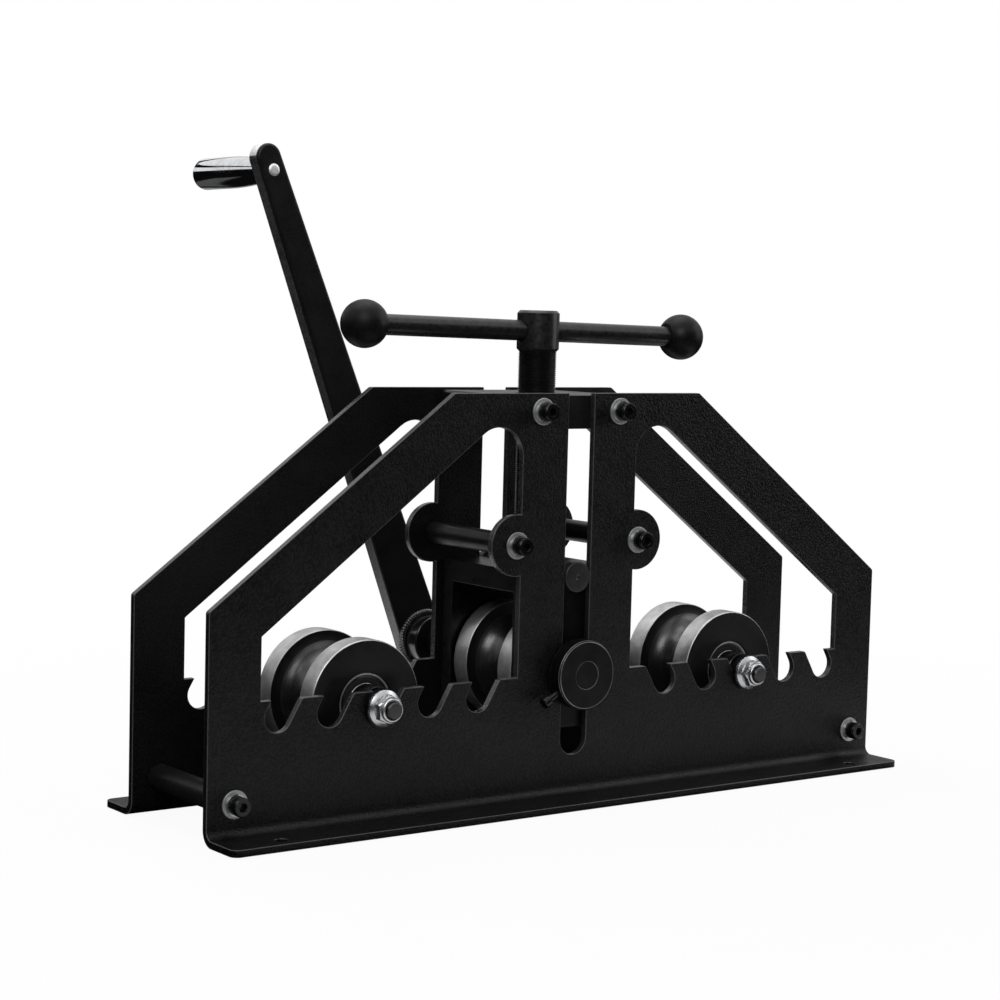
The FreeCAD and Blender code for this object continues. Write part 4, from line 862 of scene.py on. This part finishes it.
IMAGE_SIDE = 1000
FOCAL_PIXELS = 2288.08
CAMERA_PLACE = Vector((-1.01875, -1.32845, 0.34807))
CAMERA_AZIMUTH, CAMERA_ELEVATION, CAMERA_ROLL = (
    math.radians(angle) for angle in (-36.64, 4.66, 1.47))
LAMPS_AIM = (0, 0, 0.15)
FLOOR_DROP, APRON_DROP = -0.0005, -0.0003
WALL_RADIUS, BAND_RADIUS, WALL_LOW, WALL_HIGH = 2.6, 2.59, -0.8, 0.8
BAND_LOW, BAND_TALL = 1.22, 0.22


def link_nodes(tree, *pairs):
    """Join outputs to inputs, pair by pair."""
    for source, target in pairs:
        tree.links.new(source, target)


def make_camera():
    """The camera stands still in front and a little to the left, turned by three angles."""
    back = Vector((math.sin(CAMERA_AZIMUTH) * math.cos(CAMERA_ELEVATION),
                   -math.cos(CAMERA_AZIMUTH) * math.cos(CAMERA_ELEVATION),
                   math.sin(CAMERA_ELEVATION)))
    level = (-back).cross(Vector(Z_AXIS)).normalized()
    upright = level.cross(-back)
    across = level * math.cos(CAMERA_ROLL) + upright * math.sin(CAMERA_ROLL)
    up = upright * math.cos(CAMERA_ROLL) - level * math.sin(CAMERA_ROLL)
    data = bpy.data.cameras.new("camera")
    data.sensor_width = 36.0
    data.lens = FOCAL_PIXELS / IMAGE_SIDE * data.sensor_width
    data.clip_start, data.clip_end = 0.05, 50.0
    camera = bpy.data.objects.new("camera", data)
    turn = Matrix((across, up, back)).transposed().to_4x4()
    camera.matrix_world = Matrix.Translation(CAMERA_PLACE) @ turn
    bpy.context.scene.collection.objects.link(camera)
    bpy.context.scene.camera = camera


def soft_box(name, place, width, height, power, mirrored=True):
    """A rectangular studio lamp; unmirrored, it leaves no image in polished metal."""
    data = bpy.data.lights.new(name, "AREA")
    data.shape = "RECTANGLE"
    data.size, data.size_y, data.energy = width, height, power
    lamp = bpy.data.objects.new(name, data)
    lamp.location = place
    lamp.rotation_mode = "QUATERNION"
    lamp.rotation_quaternion = (Vector(LAMPS_AIM) - Vector(place)).to_track_quat("-Z", "Y")
    lamp.visible_glossy = mirrored
    bpy.context.scene.collection.objects.link(lamp)


def seen_directly(tree):
    """One for rays that should find white: the camera's, and mirror and glass rays."""
    path = tree.nodes.new("ShaderNodeLightPath")
    total = path.outputs["Is Camera Ray"]
    for name in ("Is Glossy Ray", "Is Transmission Ray"):
        add = tree.nodes.new("ShaderNodeMath")
        add.operation = "MAXIMUM"
        tree.links.new(total, add.inputs[0])
        tree.links.new(path.outputs[name], add.inputs[1])
        total = add.outputs[0]
    return total


def make_background():
    """A plain grey sky that lights the object, white where it is seen directly."""
    world = bpy.data.worlds.new("studio")
    world.use_nodes = True
    bpy.context.scene.world = world
    tree = world.node_tree
    light = tree.nodes["Background"]
    light.inputs["Color"].default_value = (0.5, 0.5, 0.5, 1.0)
    light.inputs["Strength"].default_value = 0.5
    white = tree.nodes.new("ShaderNodeBackground")
    white.inputs["Color"].default_value = (1.0, 1.0, 1.0, 1.0)
    mix = tree.nodes.new("ShaderNodeMixShader")
    link_nodes(tree, (seen_directly(tree), mix.inputs[0]), (light.outputs[0], mix.inputs[1]),
               (white.outputs[0], mix.inputs[2]),
               (mix.outputs[0], tree.nodes["World Output"].inputs["Surface"]))


def make_floor():
    """A pale floor that fades to white away from the object and keeps its shadow."""
    bpy.ops.mesh.primitive_plane_add(size=12.0, location=(0, 0, FLOOR_DROP))
    floor = bpy.context.object
    floor.name = "studio_floor"
    material = bpy.data.materials.new("pale_floor")
    material.use_nodes = True
    tree = material.node_tree
    paint = tree.nodes["Principled BSDF"]
    paint.inputs["Base Color"].default_value = (0.8, 0.8, 0.8, 1.0)
    paint.inputs["Roughness"].default_value = 0.9
    glow = tree.nodes.new("ShaderNodeEmission")
    mix = tree.nodes.new("ShaderNodeMixShader")
    place = tree.nodes.new("ShaderNodeTexCoord")
    distance = tree.nodes.new("ShaderNodeVectorMath")
    distance.operation = "LENGTH"
    fade = tree.nodes.new("ShaderNodeMapRange")
    fade.interpolation_type = "SMOOTHSTEP"
    for name, bound in (("From Min", 0.3), ("From Max", 1.1), ("To Min", 0.94), ("To Max", 1.0)):
        fade.inputs[name].default_value = bound
    share = tree.nodes.new("ShaderNodeMath")
    share.operation = "MULTIPLY"
    link_nodes(tree, (place.outputs["Object"], distance.inputs[0]),
               (distance.outputs["Value"], fade.inputs["Value"]),
               (fade.outputs["Result"], share.inputs[1]), (seen_directly(tree), share.inputs[0]),
               (share.outputs[0], mix.inputs[0]), (paint.outputs[0], mix.inputs[1]),
               (glow.outputs[0], mix.inputs[2]),
               (mix.outputs[0], tree.nodes["Material Output"].inputs["Surface"]))
    floor.data.materials.append(material)


def flag_cloth(name, grey):
    """Cloth of one even grey, whatever light falls on it."""
    material = bpy.data.materials.new(name)
    material.use_nodes = True
    tree = material.node_tree
    glow = tree.nodes.new("ShaderNodeEmission")
    glow.inputs["Color"].default_value = (grey, grey, grey, 1.0)
    tree.links.new(glow.outputs[0], tree.nodes["Material Output"].inputs["Surface"])
    return material


def flag_wall(radius, low, tall):
    """An open cylinder round the tool."""
    bpy.ops.mesh.primitive_cylinder_add(vertices=96, radius=radius, depth=tall,
                                        location=(0, 0, low + tall / 2), end_fill_type="NOTHING")
    bpy.ops.object.transform_apply(location=True)
    return bpy.context.object


def make_flags():
    """Dark and grey studio flags round the tool, and a black patch under it as a painted shadow on
    the floor, found by mirror rays only.
    """
    black = flag_cloth("black_flag", 0.004)
    grey = flag_cloth("grey_flag", 0.3)
    dim = flag_cloth("dim_flag", 0.09)
    front = flag_wall(WALL_RADIUS, WALL_LOW, WALL_HIGH - WALL_LOW)
    choose(front, lambda face: face.center.y > 0)
    bpy.ops.mesh.separate(type="SELECTED")
    close_piece()
    back = next(piece for piece in bpy.context.selected_objects if piece != front)
    open_piece(front)
    bpy.ops.mesh.select_all(action="SELECT")
    bpy.ops.transform.resize(value=(1, 1, 1.5), center_override=(0, 0, WALL_LOW))
    close_piece()
    dress(front, "studio_flag_front", black)
    dress(back, "studio_flag_back", black)
    repaint(back, grey, lambda face: face.center.x > 0.9)
    band = flag_wall(BAND_RADIUS, BAND_LOW, BAND_TALL)
    choose(band, lambda face: face.center.y < 0)
    bpy.ops.mesh.delete(type="FACE")
    close_piece()
    dress(band, "studio_flag_band", black)
    bpy.ops.mesh.primitive_grid_add(x_subdivisions=52, y_subdivisions=52, size=2 * WALL_RADIUS,
                                    location=(0, 0, APRON_DROP))
    apron = bpy.context.object
    bpy.ops.object.transform_apply(location=True)
    # faces near the tool are cut away, except the patch under it between the plates, kept black: a
    # painted shadow on the floor, seen in reflections
    choose(apron, lambda face: -0.3 < face.center.x < 0.5 and -0.4 < face.center.y < 0.4
           and not (abs(face.center.x) < 0.3 and abs(face.center.y) < 0.1))
    bpy.ops.mesh.delete(type="FACE")
    close_piece()
    dress(apron, "studio_flag_apron", black)
    repaint(apron, grey, lambda face: face.center.x > 0.4 and face.center.y > 1.2)
    repaint(apron, dim, lambda face: -0.7 < face.center.x < 0.1 and 0.95 < face.center.y < 1.5)
    for flag in (front, back, band, apron):
        flag.visible_camera = False
        flag.visible_diffuse = False
        flag.visible_transmission = False
        flag.visible_shadow = False


bpy.ops.object.select_all(action="DESELECT")
bpy.context.scene.view_settings.view_transform = "Standard"
make_camera()
make_background()
make_floor()
make_flags()
soft_box("key", (-1.3, -1.6, 1.5), 1.2, 1.2, 21.0)
soft_box("side", (1.8, -0.8, 0.9), 1.0, 1.4, 9.0)
soft_box("top", (0.0, 0.3, 2.0), 1.6, 1.2, 14.0)
soft_box("back", (-0.2, 1.8, 1.6), 1.8, 0.8, 24.0, mirrored=False)
